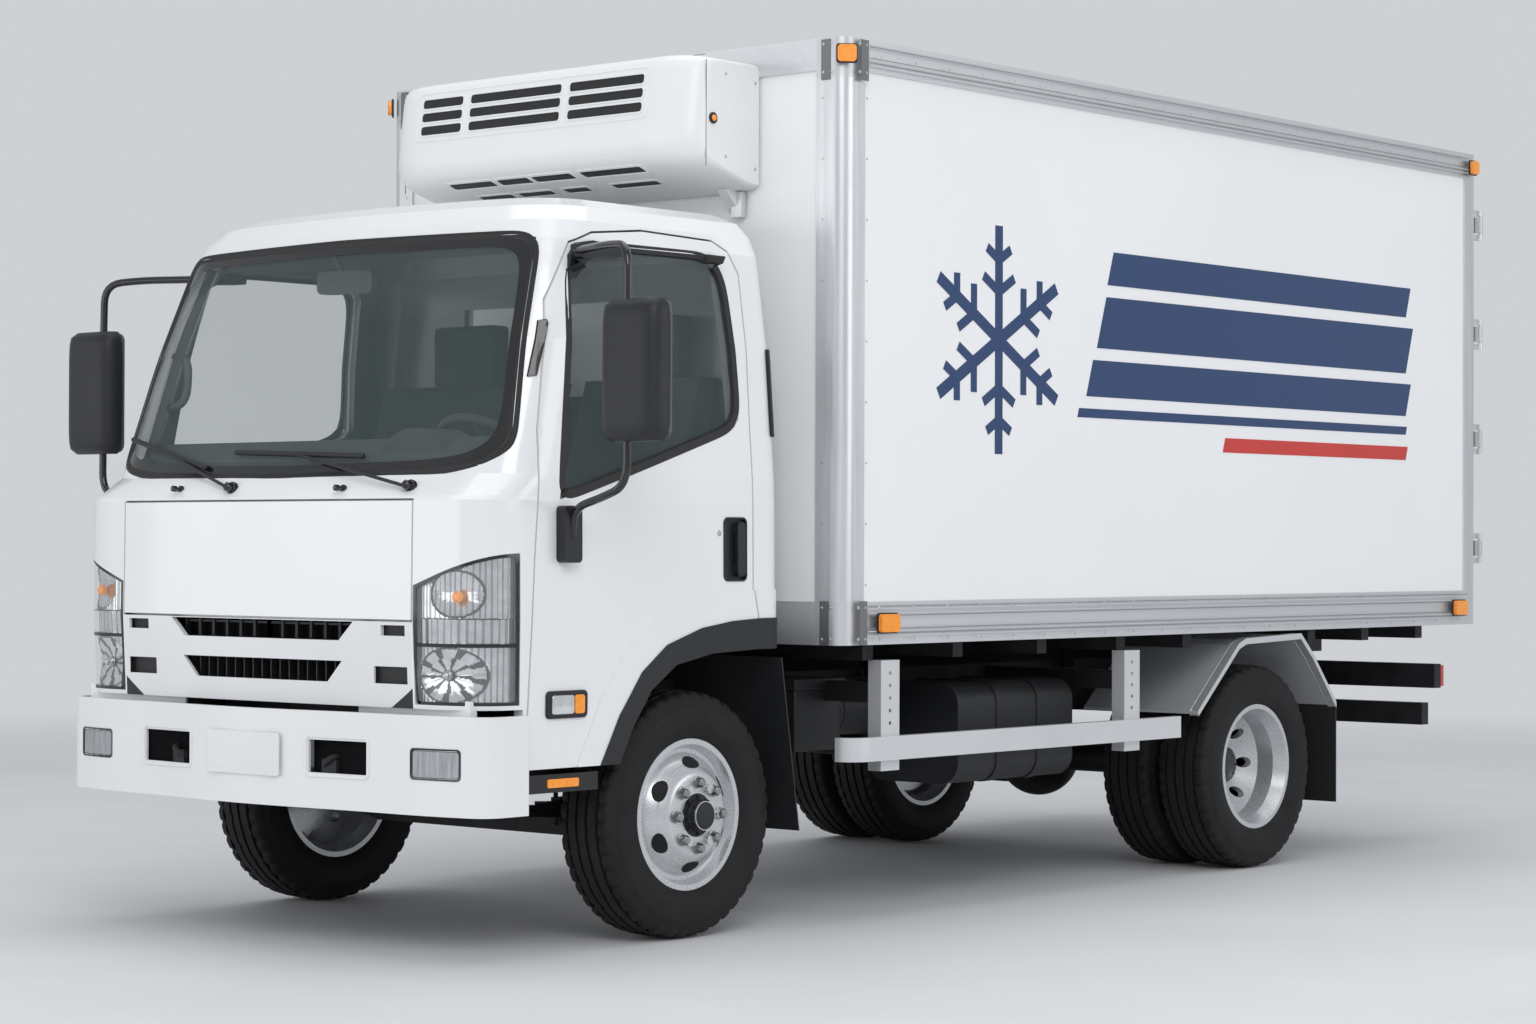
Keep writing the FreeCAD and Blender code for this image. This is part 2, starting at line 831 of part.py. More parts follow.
def slot_cut(top_share, low_share, z0_share, z1_share):
    tall = lid_low_z - cab_nose_low_z
    z0 = cab_nose_low_z + z0_share * tall
    z1 = cab_nose_low_z + z1_share * tall
    top = top_share * lid_half_width
    low = low_share * lid_half_width
    return slab_y([(-low, z0), (low, z0), (top, z1), (-top, z1)], cab_front_y - over, footwell_front_y)


def make_flares():
    rim = side_prism(arch_outline_share, cab_half_width - cab_wall, cab_half_width + cab_wall / 2)
    hole = side_prism(flare_outline_share, -far, far)
    outer = cab_form(-cab_wall / 5, 0, 0, 0, 0)
    core = cab_form(cab_wall / 5, 0, 0, 0, 0)
    flare = rim.cut(hole).common(outer).cut(core)
    put("arch_flares", both(flare))


def make_steps():
    tread = block(step_inner_x, cab_half_width, step_front_y, step_rear_y, step_low_z, step_top_z)
    pocket = block(step_inner_x + step_wall, cab_half_width - step_wall, step_front_y + step_wall,
                   step_rear_y - step_wall, step_low_z + step_wall, step_top_z + over)
    hanger = block(step_inner_x, step_inner_x + step_wall, step_front_y, step_rear_y, step_low_z, footwell_z)
    put("cab_steps", both(tread.cut(pocket).fuse(hanger)))


def screen_y(x, z):
    share = (z - cab_sill_z) / cab_height
    rows = cab_section_share
    for low, high in zip(rows, rows[1:]):
        if low[0] <= share <= high[0]:
            t = (share - low[0]) / (high[0] - low[0])
            back = low[2] + t * (high[2] - low[2])
            bow = low[3] + t * (high[3] - low[3])
            arc = low[4] + t * (high[4] - low[4])
            off = x / (arc * cab_half_width)
            return cab_front_y + (back + bow * off * off) * cab_length
    return cab_front_y


def make_wipers(shell):
    wipers = fused([one_wiper(px, blade) for px, blade in wiper_places()])
    put("wipers", wipers.cut(shell))


def wiper_places():
    return [(share * cab_half_width, blade) for share, blade in zip(wiper_pivot_share, wiper_blade_share)]


def one_wiper(px, blade):
    (ax, az), (bx, bz) = [(a * cab_half_width, cab_sill_z + b * cab_height) for a, b in blade]
    mx = (ax + bx) / 2
    mz = (az + bz) / 2
    stand = wiper_stand
    pivot_y = screen_y(px, wiper_pivot_z)
    start = vec(px, pivot_y + wiper_seat, wiper_pivot_z)
    knee = vec(px, pivot_y - stand, wiper_pivot_z)
    centre = vec(mx, screen_y(mx, mz) - stand, mz)
    arm = tube_path([start, knee, centre], wiper_radius)
    first = vec(ax, screen_y(ax, az) - wiper_blade_radius, az)
    last = vec(bx, screen_y(bx, bz) - wiper_blade_radius, bz)
    middle = vec(mx, screen_y(mx, mz) - wiper_blade_radius, mz)
    return arm.fuse(tube_path([first, middle, last], wiper_blade_radius))


# inside the cab
def make_inside():
    span_y = dash_rear_y - (cab_front_y + cab_front_wall)
    span_z = dash_top_z - dash_low_z
    yz = [(cab_front_y + cab_front_wall - over * a0 + a * span_y, dash_low_z + b * span_z)
          for a, b, a0 in [(a, b, 1 if a == 0 else 0) for a, b in dash_outline_share]]
    form = cab_form(cab_wall, cab_front_wall, cab_screen_wall, cab_rear_wall, cab_roof_wall)
    dash = slab_x(yz, -dash_half_width, dash_half_width).common(form)
    tilt = math.radians(wheel_tilt)
    axis = vec(0, math.sin(tilt), math.cos(tilt))
    centre = vec(wheel_x, wheel_y, wheel_z)
    top = centre - axis * (wheel_hub_depth / 2 + seat_gap)
    column = Part.makeCylinder(column_radius, column_length, top - axis * column_length, axis)
    hood_y = dash_rear_y - hood_set_back
    hood = rod_y(hood_y - hood_depth, hood_y, wheel_x, dash_top_z - hood_drop, hood_radius)
    hood = hood.common(block(0, far, -far, 0, dash_top_z - hood_drop, far)).common(form)
    put("dashboard", fused([dash, hood, column]))

    ring = Part.makeTorus(wheel_radius - wheel_rim_radius, wheel_rim_radius, centre, axis)
    hub = Part.makeCylinder(wheel_hub_radius, wheel_hub_depth, centre - axis * (wheel_hub_depth / 2), axis)
    spokes = []
    for turn in wheel_spoke_turns:
        spoke = block(0, wheel_radius - wheel_rim_radius, -wheel_spoke_width / 2, wheel_spoke_width / 2,
                      -wheel_spoke_wall / 2, wheel_spoke_wall / 2)
        spoke.rotate(O, AZ, turn)
        spoke.rotate(O, AX, -wheel_tilt)
        spoke.translate(centre)
        spokes.append(spoke)
    put("steering_wheel", fused([ring, hub] + spokes))

    seat = one_seat(seat_x - seat_half_width, seat_x + seat_half_width, seat_x)
    bench = one_seat(-bench_outer_x, bench_inner_x, -bench_headrest_x)
    put("seats", group(seat, bench))


def one_seat(x0, x1, head_x):
    base_z = platform_z + floor_plate
    cushion = block(x0, x1, cushion_front_y, cushion_rear_y, base_z, cushion_top_z)
    low = cushion_top_z - seat_round
    back = slab_x([(back_rear_y - back_wall * 2, low), (back_rear_y - back_wall, low), (back_rear_y, back_top_z),
                   (back_rear_y - back_wall * 2 / 3, back_top_z)], x0, x1)
    front = [e for e in cushion.Edges if e.BoundBox.ZMin > cushion_top_z - seat_gap]
    cushion = cushion.makeFillet(seat_round, front)
    head = block(head_x - headrest_half_width, head_x + headrest_half_width, back_rear_y - headrest_wall,
                 back_rear_y, back_top_z + seat_gap, headrest_top_z)
    head = head.makeFillet(seat_round / 2, head.Edges)
    post = block(head_x - seat_round, head_x + seat_round, back_rear_y - headrest_wall / 2,
                 back_rear_y - headrest_wall / 4, back_top_z - seat_round, back_top_z + seat_round * 2)
    return fused([cushion, back, head, post])


# chassis
def make_frame():
    low = rail_top_z - rail_height
    rail = block(rail_outer_x - rail_flange, rail_outer_x, rail_front_y, rail_rear_y, low, rail_top_z)
    channel = block(rail_outer_x - rail_flange - rail_wall, rail_outer_x - rail_wall, rail_front_y - over,
                    rail_rear_y + over, low + rail_wall, rail_top_z - rail_wall)
    rail = rail.cut(channel)
    inner = rail_outer_x - rail_wall
    members = []
    for y in crossmember_ys:
        z0 = low + (rail_height - crossmember_height) / 2
        beam = block(-inner, inner, y, y + crossmember_depth, z0, z0 + crossmember_height)
        hollow = block(-inner - over, inner + over, y + rail_wall, y + crossmember_depth + over, z0 + rail_wall,
                       z0 + crossmember_height - rail_wall)
        members.append(beam.cut(hollow))
    x0 = rail_outer_x - bracket_width
    bracket = slab_x([(rail_front_y, low), (rail_front_y + bracket_lap, low),
                      (rail_front_y + bracket_lap, low - rail_wall), (rail_front_y, bracket_low_z),
                      (bracket_front_y, bracket_low_z), (bracket_front_y, bracket_top_z),
                      (rail_front_y + bracket_top_z - low, bracket_top_z)], x0, rail_outer_x)
    behind_bumper = bumper_plan(bumper_wall + seat_gap).extrude(AZ * bumper_top_z)
    tow_bore = rod_z(bracket_low_z - over, bracket_top_z + over, rail_outer_x - bracket_width / 2, tow_bore_y,
                     tow_bore_radius)
    nose = bracket.cut(block(-far, far, rail_front_y, rail_front_y + over, 0, cab_top_z))
    tail = bracket.common(block(-far, far, rail_front_y, rail_front_y + over, 0, cab_top_z))
    bracket = nose.common(behind_bumper).fuse(tail).cut(tow_bore)
    pivot = rod_x(-footwell_inner_x, footwell_inner_x, tilt_pivot_y, tilt_pivot_z, tilt_tube_radius)
    post = block(rail_outer_x - rail_flange, rail_outer_x, max(tilt_pivot_y - pivot_post_half, rail_front_y),
                 tilt_pivot_y + pivot_post_half, rail_top_z, tilt_pivot_z)
    rest = block(rail_outer_x - rail_flange, rail_outer_x, cab_mount_y, cab_mount_y + spring_width, rail_top_z,
                 platform_z - seat_gap)
    parts = [rail, mirrored(rail), bracket, mirrored(bracket), rest, mirrored(rest), post, mirrored(post),
             pivot, service_box()] + members
    put("chassis_frame", fused(parts))


def service_box():
    housing = block(service_box_x, service_box_x + service_box_width, service_box_y,
                    service_box_y + service_box_depth, service_box_low_z, service_box_top_z)
    housing = housing.makeFillet(lamp_box_round, housing.Edges)
    arm_z = rail_top_z - rail_height + rail_wall
    arm = block(rail_outer_x - rail_wall, service_box_x + lamp_box_round, service_box_y + lamp_box_round * 2,
                service_box_y + lamp_box_round * 2 + rail_wall, arm_z, arm_z + service_arm_height)
    return housing.fuse(arm)


def leaf_spring(x, y_axle, z_axle, half_length, width):
    leaves = []
    for i in range(spring_leaf_count):
        reach = half_length * (spring_leaf_count - i) / spring_leaf_count
        radius = (half_length * half_length + spring_camber * spring_camber) / spring_camber / 2
        base = z_axle + i * spring_leaf
        lift = reach * reach / radius / 2
        top = arc_strip(y_axle, base, reach, lift, spring_leaf)
        leaves.append(face_strip(top, x - width / 2, width))
    return fused(leaves)


def arc_strip(y, z, reach, lift, thick):
    low = Part.Arc(vec(0, y - reach, z + lift), vec(0, y, z), vec(0, y + reach, z + lift))
    high = Part.Arc(vec(0, y + reach, z + lift + thick), vec(0, y, z + thick), vec(0, y - reach, z + lift + thick))
    return [low.toShape(), Part.makeLine(vec(0, y + reach, z + lift), vec(0, y + reach, z + lift + thick)),
            high.toShape(), Part.makeLine(vec(0, y - reach, z + lift + thick), vec(0, y - reach, z + lift))]


def face_strip(edges, x0, width):
    face = Part.Face(Part.Wire(edges))
    face.translate(vec(x0, 0, 0))
    return face.extrude(AX * width)


def make_springs():
    front = spring_set(spring_x, 0, beam_z + beam_height / 2, spring_half_length)
    rear = spring_set(rear_spring_x, wheelbase, tyre_radius + rear_tube_radius, rear_spring_half_length)
    put("leaf_springs", group(both(front), both(rear)))


def spring_set(x, y, z, half_length):
    pack = leaf_spring(x, y, z, half_length, spring_width)
    top = z + spring_camber
    clamp = block(x - spring_width / 2 - spring_leaf, x + spring_width / 2 + spring_leaf, y - spring_width,
                  y + spring_width, z, z + spring_leaf * (spring_leaf_count + 1))
    hangers = []
    low_rail = rail_top_z - rail_height
    for side in (-1, 1):
        yh = y + side * (half_length - spring_width / 2)
        hangers.append(block(min(rail_outer_x, x - spring_width / 2), x + spring_width / 2, yh - spring_width / 2,
                             yh + spring_width / 2, top - spring_camber / 2, low_rail + hanger_lap))
    return fused([pack, clamp] + hangers)


def make_front_axle():
    drop = slab_y([(-steer_pin_x, beam_end_z - beam_height / 2), (-spring_x - spring_width, beam_z - beam_height / 2),
                   (spring_x + spring_width, beam_z - beam_height / 2), (steer_pin_x, beam_end_z - beam_height / 2),
                   (steer_pin_x, beam_end_z + beam_height / 2 - knuckle_gap),
                   (spring_x + spring_width, beam_z + beam_height / 2),
                   (-spring_x - spring_width, beam_z + beam_height / 2),
                   (-steer_pin_x, beam_end_z + beam_height / 2 - knuckle_gap)], -beam_width / 2, beam_width / 2)
    eye = rod_z(beam_end_z - beam_eye_half, beam_end_z + beam_eye_half, steer_pin_x, 0, beam_eye_radius)
    bore = rod_z(beam_end_z - over, beam_end_z + over, steer_pin_x, 0, steer_pin_radius + seat_gap)
    trim = block(steer_pin_x, steer_pin_x + over, -over, over, 0, far)
    beam = drop.cut(trim).cut(mirrored(trim)).fuse(eye).fuse(mirrored(eye))
    put("front_axle_beam", beam.cut(bore).cut(mirrored(bore)))


def make_knuckle():
    z_low = beam_end_z - beam_eye_half - knuckle_gap
    z_high = beam_end_z + beam_eye_half + knuckle_gap
    pin = rod_z(z_low - knuckle_lug, z_high + knuckle_lug, steer_pin_x, 0, steer_pin_radius)
    lugs = [rod_z(z_low - knuckle_lug, z_low, steer_pin_x, 0, beam_eye_radius),
            rod_z(z_high, z_high + knuckle_lug, steer_pin_x, 0, beam_eye_radius)]
    web_x = steer_pin_x + beam_eye_radius + knuckle_gap
    web = block(web_x, web_x + knuckle_lug, -beam_eye_radius, beam_eye_radius, z_low - knuckle_lug,
                z_high + knuckle_lug)
    ears = [block(steer_pin_x, web_x, -beam_eye_radius, beam_eye_radius, z_low - knuckle_lug, z_low),
            block(steer_pin_x, web_x, -beam_eye_radius, beam_eye_radius, z_high, z_high + knuckle_lug)]
    spindle = rod_x(web_x, front_tyre_x + knuckle_lug, 0, tyre_radius, spindle_radius)
    arm = slab_z([(steer_pin_x, -beam_eye_radius), (steer_pin_x, beam_eye_radius),
                  (steer_pin_x + steer_arm_wall, steer_arm_y + ball_radius),
                  (steer_pin_x - steer_arm_wall, steer_arm_y + ball_radius),
                  (steer_pin_x - beam_eye_radius, beam_eye_radius)],
                 z_low - knuckle_lug, z_low - knuckle_gap)
    return fused([pin, web, spindle, arm] + lugs + ears)


def make_steering():
    knuckle = make_knuckle()
    put("steering_knuckle_left", knuckle)
    put("steering_knuckle_right", mirrored(knuckle))
    z_arm = beam_end_z - beam_eye_half - knuckle_gap - knuckle_lug
    x_ball = steer_pin_x
    z_rod = z_arm - ball_radius - seat_gap
    ends = [rod_z(z_rod - ball_radius, z_arm - seat_gap, x_ball, steer_arm_y, ball_radius)]
    rod = rod_x(-x_ball, x_ball, steer_arm_y, z_rod, tie_rod_radius)
    put("tie_rod", fused([rod, ends[0], mirrored(ends[0])]))


def make_rear_axle():
    tube_end = rear_inner_tyre_x + twin_spacing / 2 - disc_wall - drum_width - move_gap
    tip = rear_inner_tyre_x + twin_spacing / 2 + hub_cap_length
    tube = rod_x(-tube_end, tube_end, wheelbase, tyre_radius, rear_tube_radius)
    spindles = rod_x(-tip, tip, wheelbase, tyre_radius, rear_spindle_radius)
    ball = Part.makeSphere(rear_diff_radius, vec(0, wheelbase, tyre_radius))
    nose = rod_y(wheelbase - rear_diff_radius - rear_diff_half / 2, wheelbase, 0, tyre_radius, prop_radius * 2)
    start = vec(0, gearbox_rear_y + prop_radius / 9, gearbox_low_z + prop_radius * 2)
    end = vec(0, wheelbase - rear_diff_radius - rear_diff_half / 2 - prop_radius / 9, tyre_radius)
    shaft = Part.makeCylinder(prop_radius, (end - start).Length, start, end - start)
    put("rear_axle", fused([ball, tube, spindles, nose]))
    put("propeller_shaft", shaft)


def make_power():
    engine = block(-engine_half_width, engine_half_width, engine_front_y, engine_rear_y, engine_low_z, engine_top_z)
    gearbox = block(-gearbox_half_width, gearbox_half_width, engine_rear_y, gearbox_rear_y, gearbox_low_z,
                    gearbox_top_z)
    mounts = block(-rail_outer_x + rail_wall, rail_outer_x - rail_wall, 0, spring_width,
                   rail_top_z - rail_height + rail_wall, rail_top_z - rail_height + rail_flange)
    gear_mount = block(-rail_outer_x + rail_wall, rail_outer_x - rail_wall, gearbox_rear_y - spring_width - over / 2,
                       gearbox_rear_y - over / 2, rail_top_z - rail_height + rail_wall,
                       rail_top_z - rail_height + rail_flange)
    put("engine_and_gearbox", fused([engine, gearbox, mounts, gear_mount]))


def make_wheels():
    put("tyre_front_left", tyre(front_tyre_x))
    put("tyre_front_right", mirrored(tyre(front_tyre_x)))
    put("rim_front_left", rim(front_tyre_x, 1, True))
    put("rim_front_right", mirrored(rim(front_tyre_x, 1, True)))
    outer_x = rear_inner_tyre_x + twin_spacing
    pair = group(moved(tyre(rear_inner_tyre_x)), moved(tyre(outer_x)))
    put("tyres_rear_left", pair)
    put("tyres_rear_right", mirrored(pair))
    hub, bore = rear_hub()
    pair = fused([rim(rear_inner_tyre_x, 1, False), rim(outer_x, -1, False), hub]).cut(bore)
    put("rims_rear_left", moved(pair))
    put("rims_rear_right", mirrored(moved(pair)))


def moved(shape):
    copy = shape.copy()
    copy.translate(vec(0, wheelbase, 0))
    return copy


def turned(profile, x_centre):
    points = [vec(x_centre + x, 0, r) for x, r in profile]
    solid = face_of(points).revolve(O, AX, 360)
    solid.translate(vec(0, 0, tyre_radius))
    return solid


def tyre(x):
    half = tyre_width / 2
    wall = tyre_shoulder / 3
    seat = rim_width / 2 - rim_lip_width - seat_gap
    profile = [(-seat, bead_radius + seat_gap), (-seat, rim_lip_radius + seat_gap),
               (-half + wall / 2, rim_lip_radius + tyre_shoulder / 2),
               (-half, (bead_radius + tyre_radius) / 2), (-half + wall / 2, tyre_radius - tyre_shoulder),
               (-half + tyre_shoulder - wall, tyre_radius - tread_groove_depth / 2),
               (-half + tyre_shoulder + wall, tyre_radius)]
    profile = profile + [(-a, r) for a, r in profile[::-1]]
    solid = turned(profile, x)
    for share in tread_groove_share:
        x0 = x + share * tyre_width - tread_groove_width / 2
        ring = rod_x(x0, x0 + tread_groove_width, 0, tyre_radius, tyre_radius + over).cut(
            rod_x(x0 - over, x0 + over, 0, tyre_radius, tyre_radius - tread_groove_depth))
        solid = solid.cut(ring)
    return solid


def rim(x, side, front):
    half = rim_width / 2
    well = rim_wall * 4
    face = twin_spacing / 2
    barrel = [(-half, rim_lip_radius), (-half, bead_radius - rim_wall), (-half / 2, bead_radius - well - rim_wall),
              (half / 2, bead_radius - well - rim_wall), (half, bead_radius - rim_wall), (half, rim_lip_radius),
              (half - rim_wall, rim_lip_radius), (half - rim_lip_width, bead_radius),
              (half - rim_lip_width * 3, bead_radius), (half / 2, bead_radius - well),
              (-half / 2, bead_radius - well), (-half + rim_lip_width * 3, bead_radius),
              (-half + rim_lip_width, bead_radius), (-half + rim_wall, rim_lip_radius)]
    shell = turned(barrel, x)
    deep = bead_radius - well - rim_wall
    foot = half / 3
    disc = [(side * foot, deep), (side * (foot + face) * 2 / 3, (deep + nave_radius) / 2), (side * face, nave_radius),
            (side * face, 0), (side * (face - disc_wall), 0), (side * (face - disc_wall), nave_radius - disc_wall),
            (side * (foot - disc_wall), deep)]
    plate = turned(disc, x)
    for i in range(hand_hole_count):
        angle = math.radians(360 * i / hand_hole_count)
        y = hand_hole_circle * math.cos(angle)
        z = tyre_radius + hand_hole_circle * math.sin(angle)
        plate = plate.cut(rod_x(x - twin_spacing, x + twin_spacing, y, z, hand_hole_radius))
    pieces = [shell, plate]
    if front:
        hub_x = steer_pin_x + beam_eye_radius + knuckle_gap + knuckle_lug + move_gap
        pieces.append(rod_x(hub_x, x + face - disc_wall, 0, tyre_radius, hub_radius))
        pieces.append(rod_x(x + face, x + face + hub_cap_length, 0, tyre_radius, hub_cap_radius))
        pieces += nuts(x + face)
    solid = fused(pieces)
    if front:
        solid = solid.cut(rod_x(x - half, front_tyre_x + knuckle_lug + move_gap, 0, tyre_radius,
                                spindle_radius + seat_gap))
    return solid


def nuts(x):
    found = []
    for i in range(nut_count):
        angle = math.radians(360 * i / nut_count)
        found.append(rod_x(x, x + nut_length, nut_circle * math.cos(angle),
                           tyre_radius + nut_circle * math.sin(angle), nut_radius))
    return found


def rear_hub():
    joint_x = rear_inner_tyre_x + twin_spacing / 2
    cap = rod_x(joint_x + disc_wall, joint_x + disc_wall + hub_cap_length * 2, 0, tyre_radius, hub_radius)
    drum = rod_x(joint_x - disc_wall - drum_width, joint_x - disc_wall, 0, tyre_radius, drum_radius)
    hub = rod_x(joint_x - disc_wall - drum_width, joint_x + disc_wall, 0, tyre_radius, hub_radius)
    bore = rod_x(0, joint_x + hub_cap_length + move_gap, 0, tyre_radius, rear_spindle_radius + seat_gap)
    return fused([hub, cap, drum] + nuts(joint_x + disc_wall)), bore


# box
def box_form(inset):
    form = block(-box_half_width + inset, box_half_width - inset, box_nose_y + inset, box_rear_y, box_low_z - over,
                 box_top_z + over)
    upright = [e for e in form.Edges
               if e.BoundBox.ZLength > over and e.BoundBox.YMax < box_nose_y + inset + seat_gap]
    return form.makeFillet(corner_radius - inset, upright)


def make_box():
    post_y = box_rear_y - rear_frame_depth
    core = box_form(box_panel_inset)
    wall_y = box_nose_y + box_panel_inset
    put("box_floor", block(-panel_x + box_wall, panel_x - box_wall, box_nose_y + box_wall, post_y,
                           box_floor_low_z, box_floor_top_z))
    side = block(panel_x - box_wall, panel_x, wall_y, post_y, box_floor_low_z, box_top_z - box_wall)
    put("box_sides", both(side.common(core)))
    nose = block(-panel_x + box_wall, panel_x - box_wall, wall_y, box_nose_y + box_wall, box_floor_low_z,
                 box_top_z - box_wall)
    put("box_front_wall", nose)
    roof = block(-panel_x, panel_x, wall_y, post_y, box_top_z - box_wall, box_top_z - box_panel_inset)
    put("box_roof", roof.common(core))
    frame = block(-box_half_width, box_half_width, post_y, box_rear_y, box_low_z, box_top_z)
    hole = block(-box_half_width + rear_post_width, box_half_width - rear_post_width, post_y - over,
                 box_rear_y + over, box_low_z + rail_band, box_top_z - rear_header)
    anchors = make_rear_doors()
    put("rear_frame", fused([frame.cut(hole)] + anchors.Solids + mirrored(anchors).Solids))
    make_box_rails(core, wall_y, post_y)
    middle_z = box_top_z - top_band - post_width / 2
    put("corner_posts", both(corner_piece(core, box_low_z + rail_band, middle_z)))
    high = corner_piece(core, middle_z, box_top_z)
    low = corner_piece(core, box_low_z, box_low_z + rail_band)
    put("corner_castings", group(both(high), both(low)))
    make_bearers()


def make_box_rails(core, wall_y, post_y):
    side_y = box_nose_y + post_reach
    nose_x = box_half_width - post_reach
    inner_y = box_nose_y + box_wall
    low = block(panel_x, box_half_width, side_y, post_y, box_low_z, box_low_z + rail_band)
    foot = block(panel_x - box_wall, panel_x, wall_y, post_y, box_low_z, box_floor_low_z).common(core)
    nose_low = block(-nose_x, nose_x, box_nose_y, wall_y, box_low_z, box_low_z + rail_band)
    nose_foot = block(-panel_x + box_wall, panel_x - box_wall, wall_y, inner_y, box_low_z, box_floor_low_z)
    top = block(panel_x, box_half_width, side_y, post_y, box_top_z - top_band, box_top_z)
    cap = block(panel_x - box_wall, panel_x, side_y, post_y, box_top_z - box_panel_inset, box_top_z)
    nose_top = block(-nose_x, nose_x, box_nose_y, wall_y, box_top_z - top_band, box_top_z)
    nose_cap = block(-nose_x, nose_x, wall_y, inner_y, box_top_z - box_panel_inset, box_top_z)
    put("box_rails", group(both(low.fuse(foot)), nose_low.fuse(nose_foot), both(top.fuse(cap)),
                           nose_top.fuse(nose_cap)))


def corner_piece(core, z0, z1):
    room = block(box_half_width - post_reach, box_half_width, box_nose_y, box_nose_y + post_reach, z0, z1)
    return box_form(0).cut(core).common(room)


def make_bearers():
    bearers = []
    reach = box_half_width - rail_band_depth - box_wall
    wheel_front = wheelbase + fender_outline_share[1][0] * tyre_radius - bearer_width
    wheel_rear = wheelbase + fender_outline_share[-2][0] * tyre_radius
    for y in bearer_ys:
        over_wheel = wheel_front < y < wheel_rear
        half = fender_inner_x - bearer_width if over_wheel else reach
        bearers.append(block(-half, half, y, y + bearer_width, bearer_low_z, box_floor_low_z))
    sill = block(rail_outer_x - sill_width, rail_outer_x, box_nose_y + bearer_width, box_rear_y - rear_frame_depth,
                 rail_top_z, bearer_low_z)
    put("subframe", fused(bearers + [sill, mirrored(sill)]))


def make_rear_doors():
    z0 = box_low_z + rail_band + move_gap
    z1 = box_top_z - rear_header - move_gap
    x1 = box_half_width - rear_post_width - move_gap
    leaf = block(move_gap / 2, x1, box_rear_y - door_thickness, box_rear_y, z0, z1)
    hinges = []
    anchors = []
    for share in hinge_share:
        z = z0 + share * (z1 - z0)
        plate_y = box_rear_y + hinge_plate
        strap = block(x1 - post_reach, hinge_axis_x, plate_y, plate_y + hinge_plate, z - hinge_length / 2,
                      z + hinge_length / 2)
        pad = block(x1 - post_reach, x1 - hinge_plate, box_rear_y, plate_y, z - hinge_length / 2,
                    z + hinge_length / 2)
        link = block(hinge_axis_x - hinge_plate, hinge_axis_x, plate_y, hinge_axis_y, z - hinge_length / 2,
                     z + hinge_length / 2)
        eye = rod_z(z - hinge_length / 2, z + hinge_length / 2, hinge_axis_x, hinge_axis_y, hinge_radius)
        bore = rod_z(z - over, z + over, hinge_axis_x, hinge_axis_y, hinge_pin_radius + seat_gap)
        hinges.append(fused([strap, pad, link, eye]).cut(bore))
        anchors.append(hinge_anchor(z))
    rods = lock_rod(z0, z1)
    door = fused([leaf, rods] + hinges)
    put("rear_door_left", door)
    put("rear_door_right", mirrored(door))
    return group(*anchors)


def hinge_anchor(z):
    half = hinge_length / 2 + move_gap
    pieces = [rod_z(z - half - hinge_lug, z + half + hinge_lug, hinge_axis_x, hinge_axis_y, hinge_pin_radius)]
    for z0 in (z - half - hinge_lug, z + half):
        lug = block(hinge_axis_x - hinge_radius - hinge_plate, hinge_axis_x - hinge_pin_radius, box_rear_y,
                    hinge_axis_y, z0, z0 + hinge_lug)
        pieces.append(lug)
        pieces.append(rod_z(z0, z0 + hinge_lug, hinge_axis_x, hinge_axis_y, hinge_radius))
    return fused(pieces)


def lock_rod(z0, z1):
    y = box_rear_y + lock_rod_stand
    rod = rod_z(z0, z1, lock_rod_x, y, lock_rod_radius)
    pads = []
    for share in lock_pad_share:
        z = z0 + share * (z1 - z0)
        z = min(max(z, z0 + bearer_width / 2), z1 - bearer_width / 2)
        pads.append(block(lock_rod_x - bearer_width / 2, lock_rod_x + bearer_width / 2, box_rear_y,
                          y, z - bearer_width / 2, z + bearer_width / 2))
    handle_z0 = z0 + lock_handle_share * (z1 - z0)
    handle = block(lock_rod_x, lock_rod_x + post_reach * 2, y - lock_rod_radius / 2, y + lock_rod_radius / 2,
                   handle_z0, handle_z0 + bearer_width / 2)
    return fused([rod, handle] + pads)


# cooling unit
def unit_form(inset):
    low_y = box_nose_y - unit_foot
    lean_z = unit_front_low_z + unit_round
    yz = [(unit_front_y + unit_round + inset, unit_front_low_z + inset), (unit_front_y + inset, lean_z + inset),
          (unit_front_y + unit_lean + inset, unit_top_z - inset), (box_nose_y, unit_top_z - inset),
          (box_nose_y, unit_low_z + inset), (low_y, unit_low_z + inset)]
    half = unit_half_width - inset
    front = unit_front_half_width - inset
    body = slab_x(yz, -half, half)
    plan = slab_z([(-front, unit_front_y), (front, unit_front_y), (half, box_nose_y), (-half, box_nose_y)],
                  unit_low_z - over, unit_top_z + over)
    return body.common(plan)


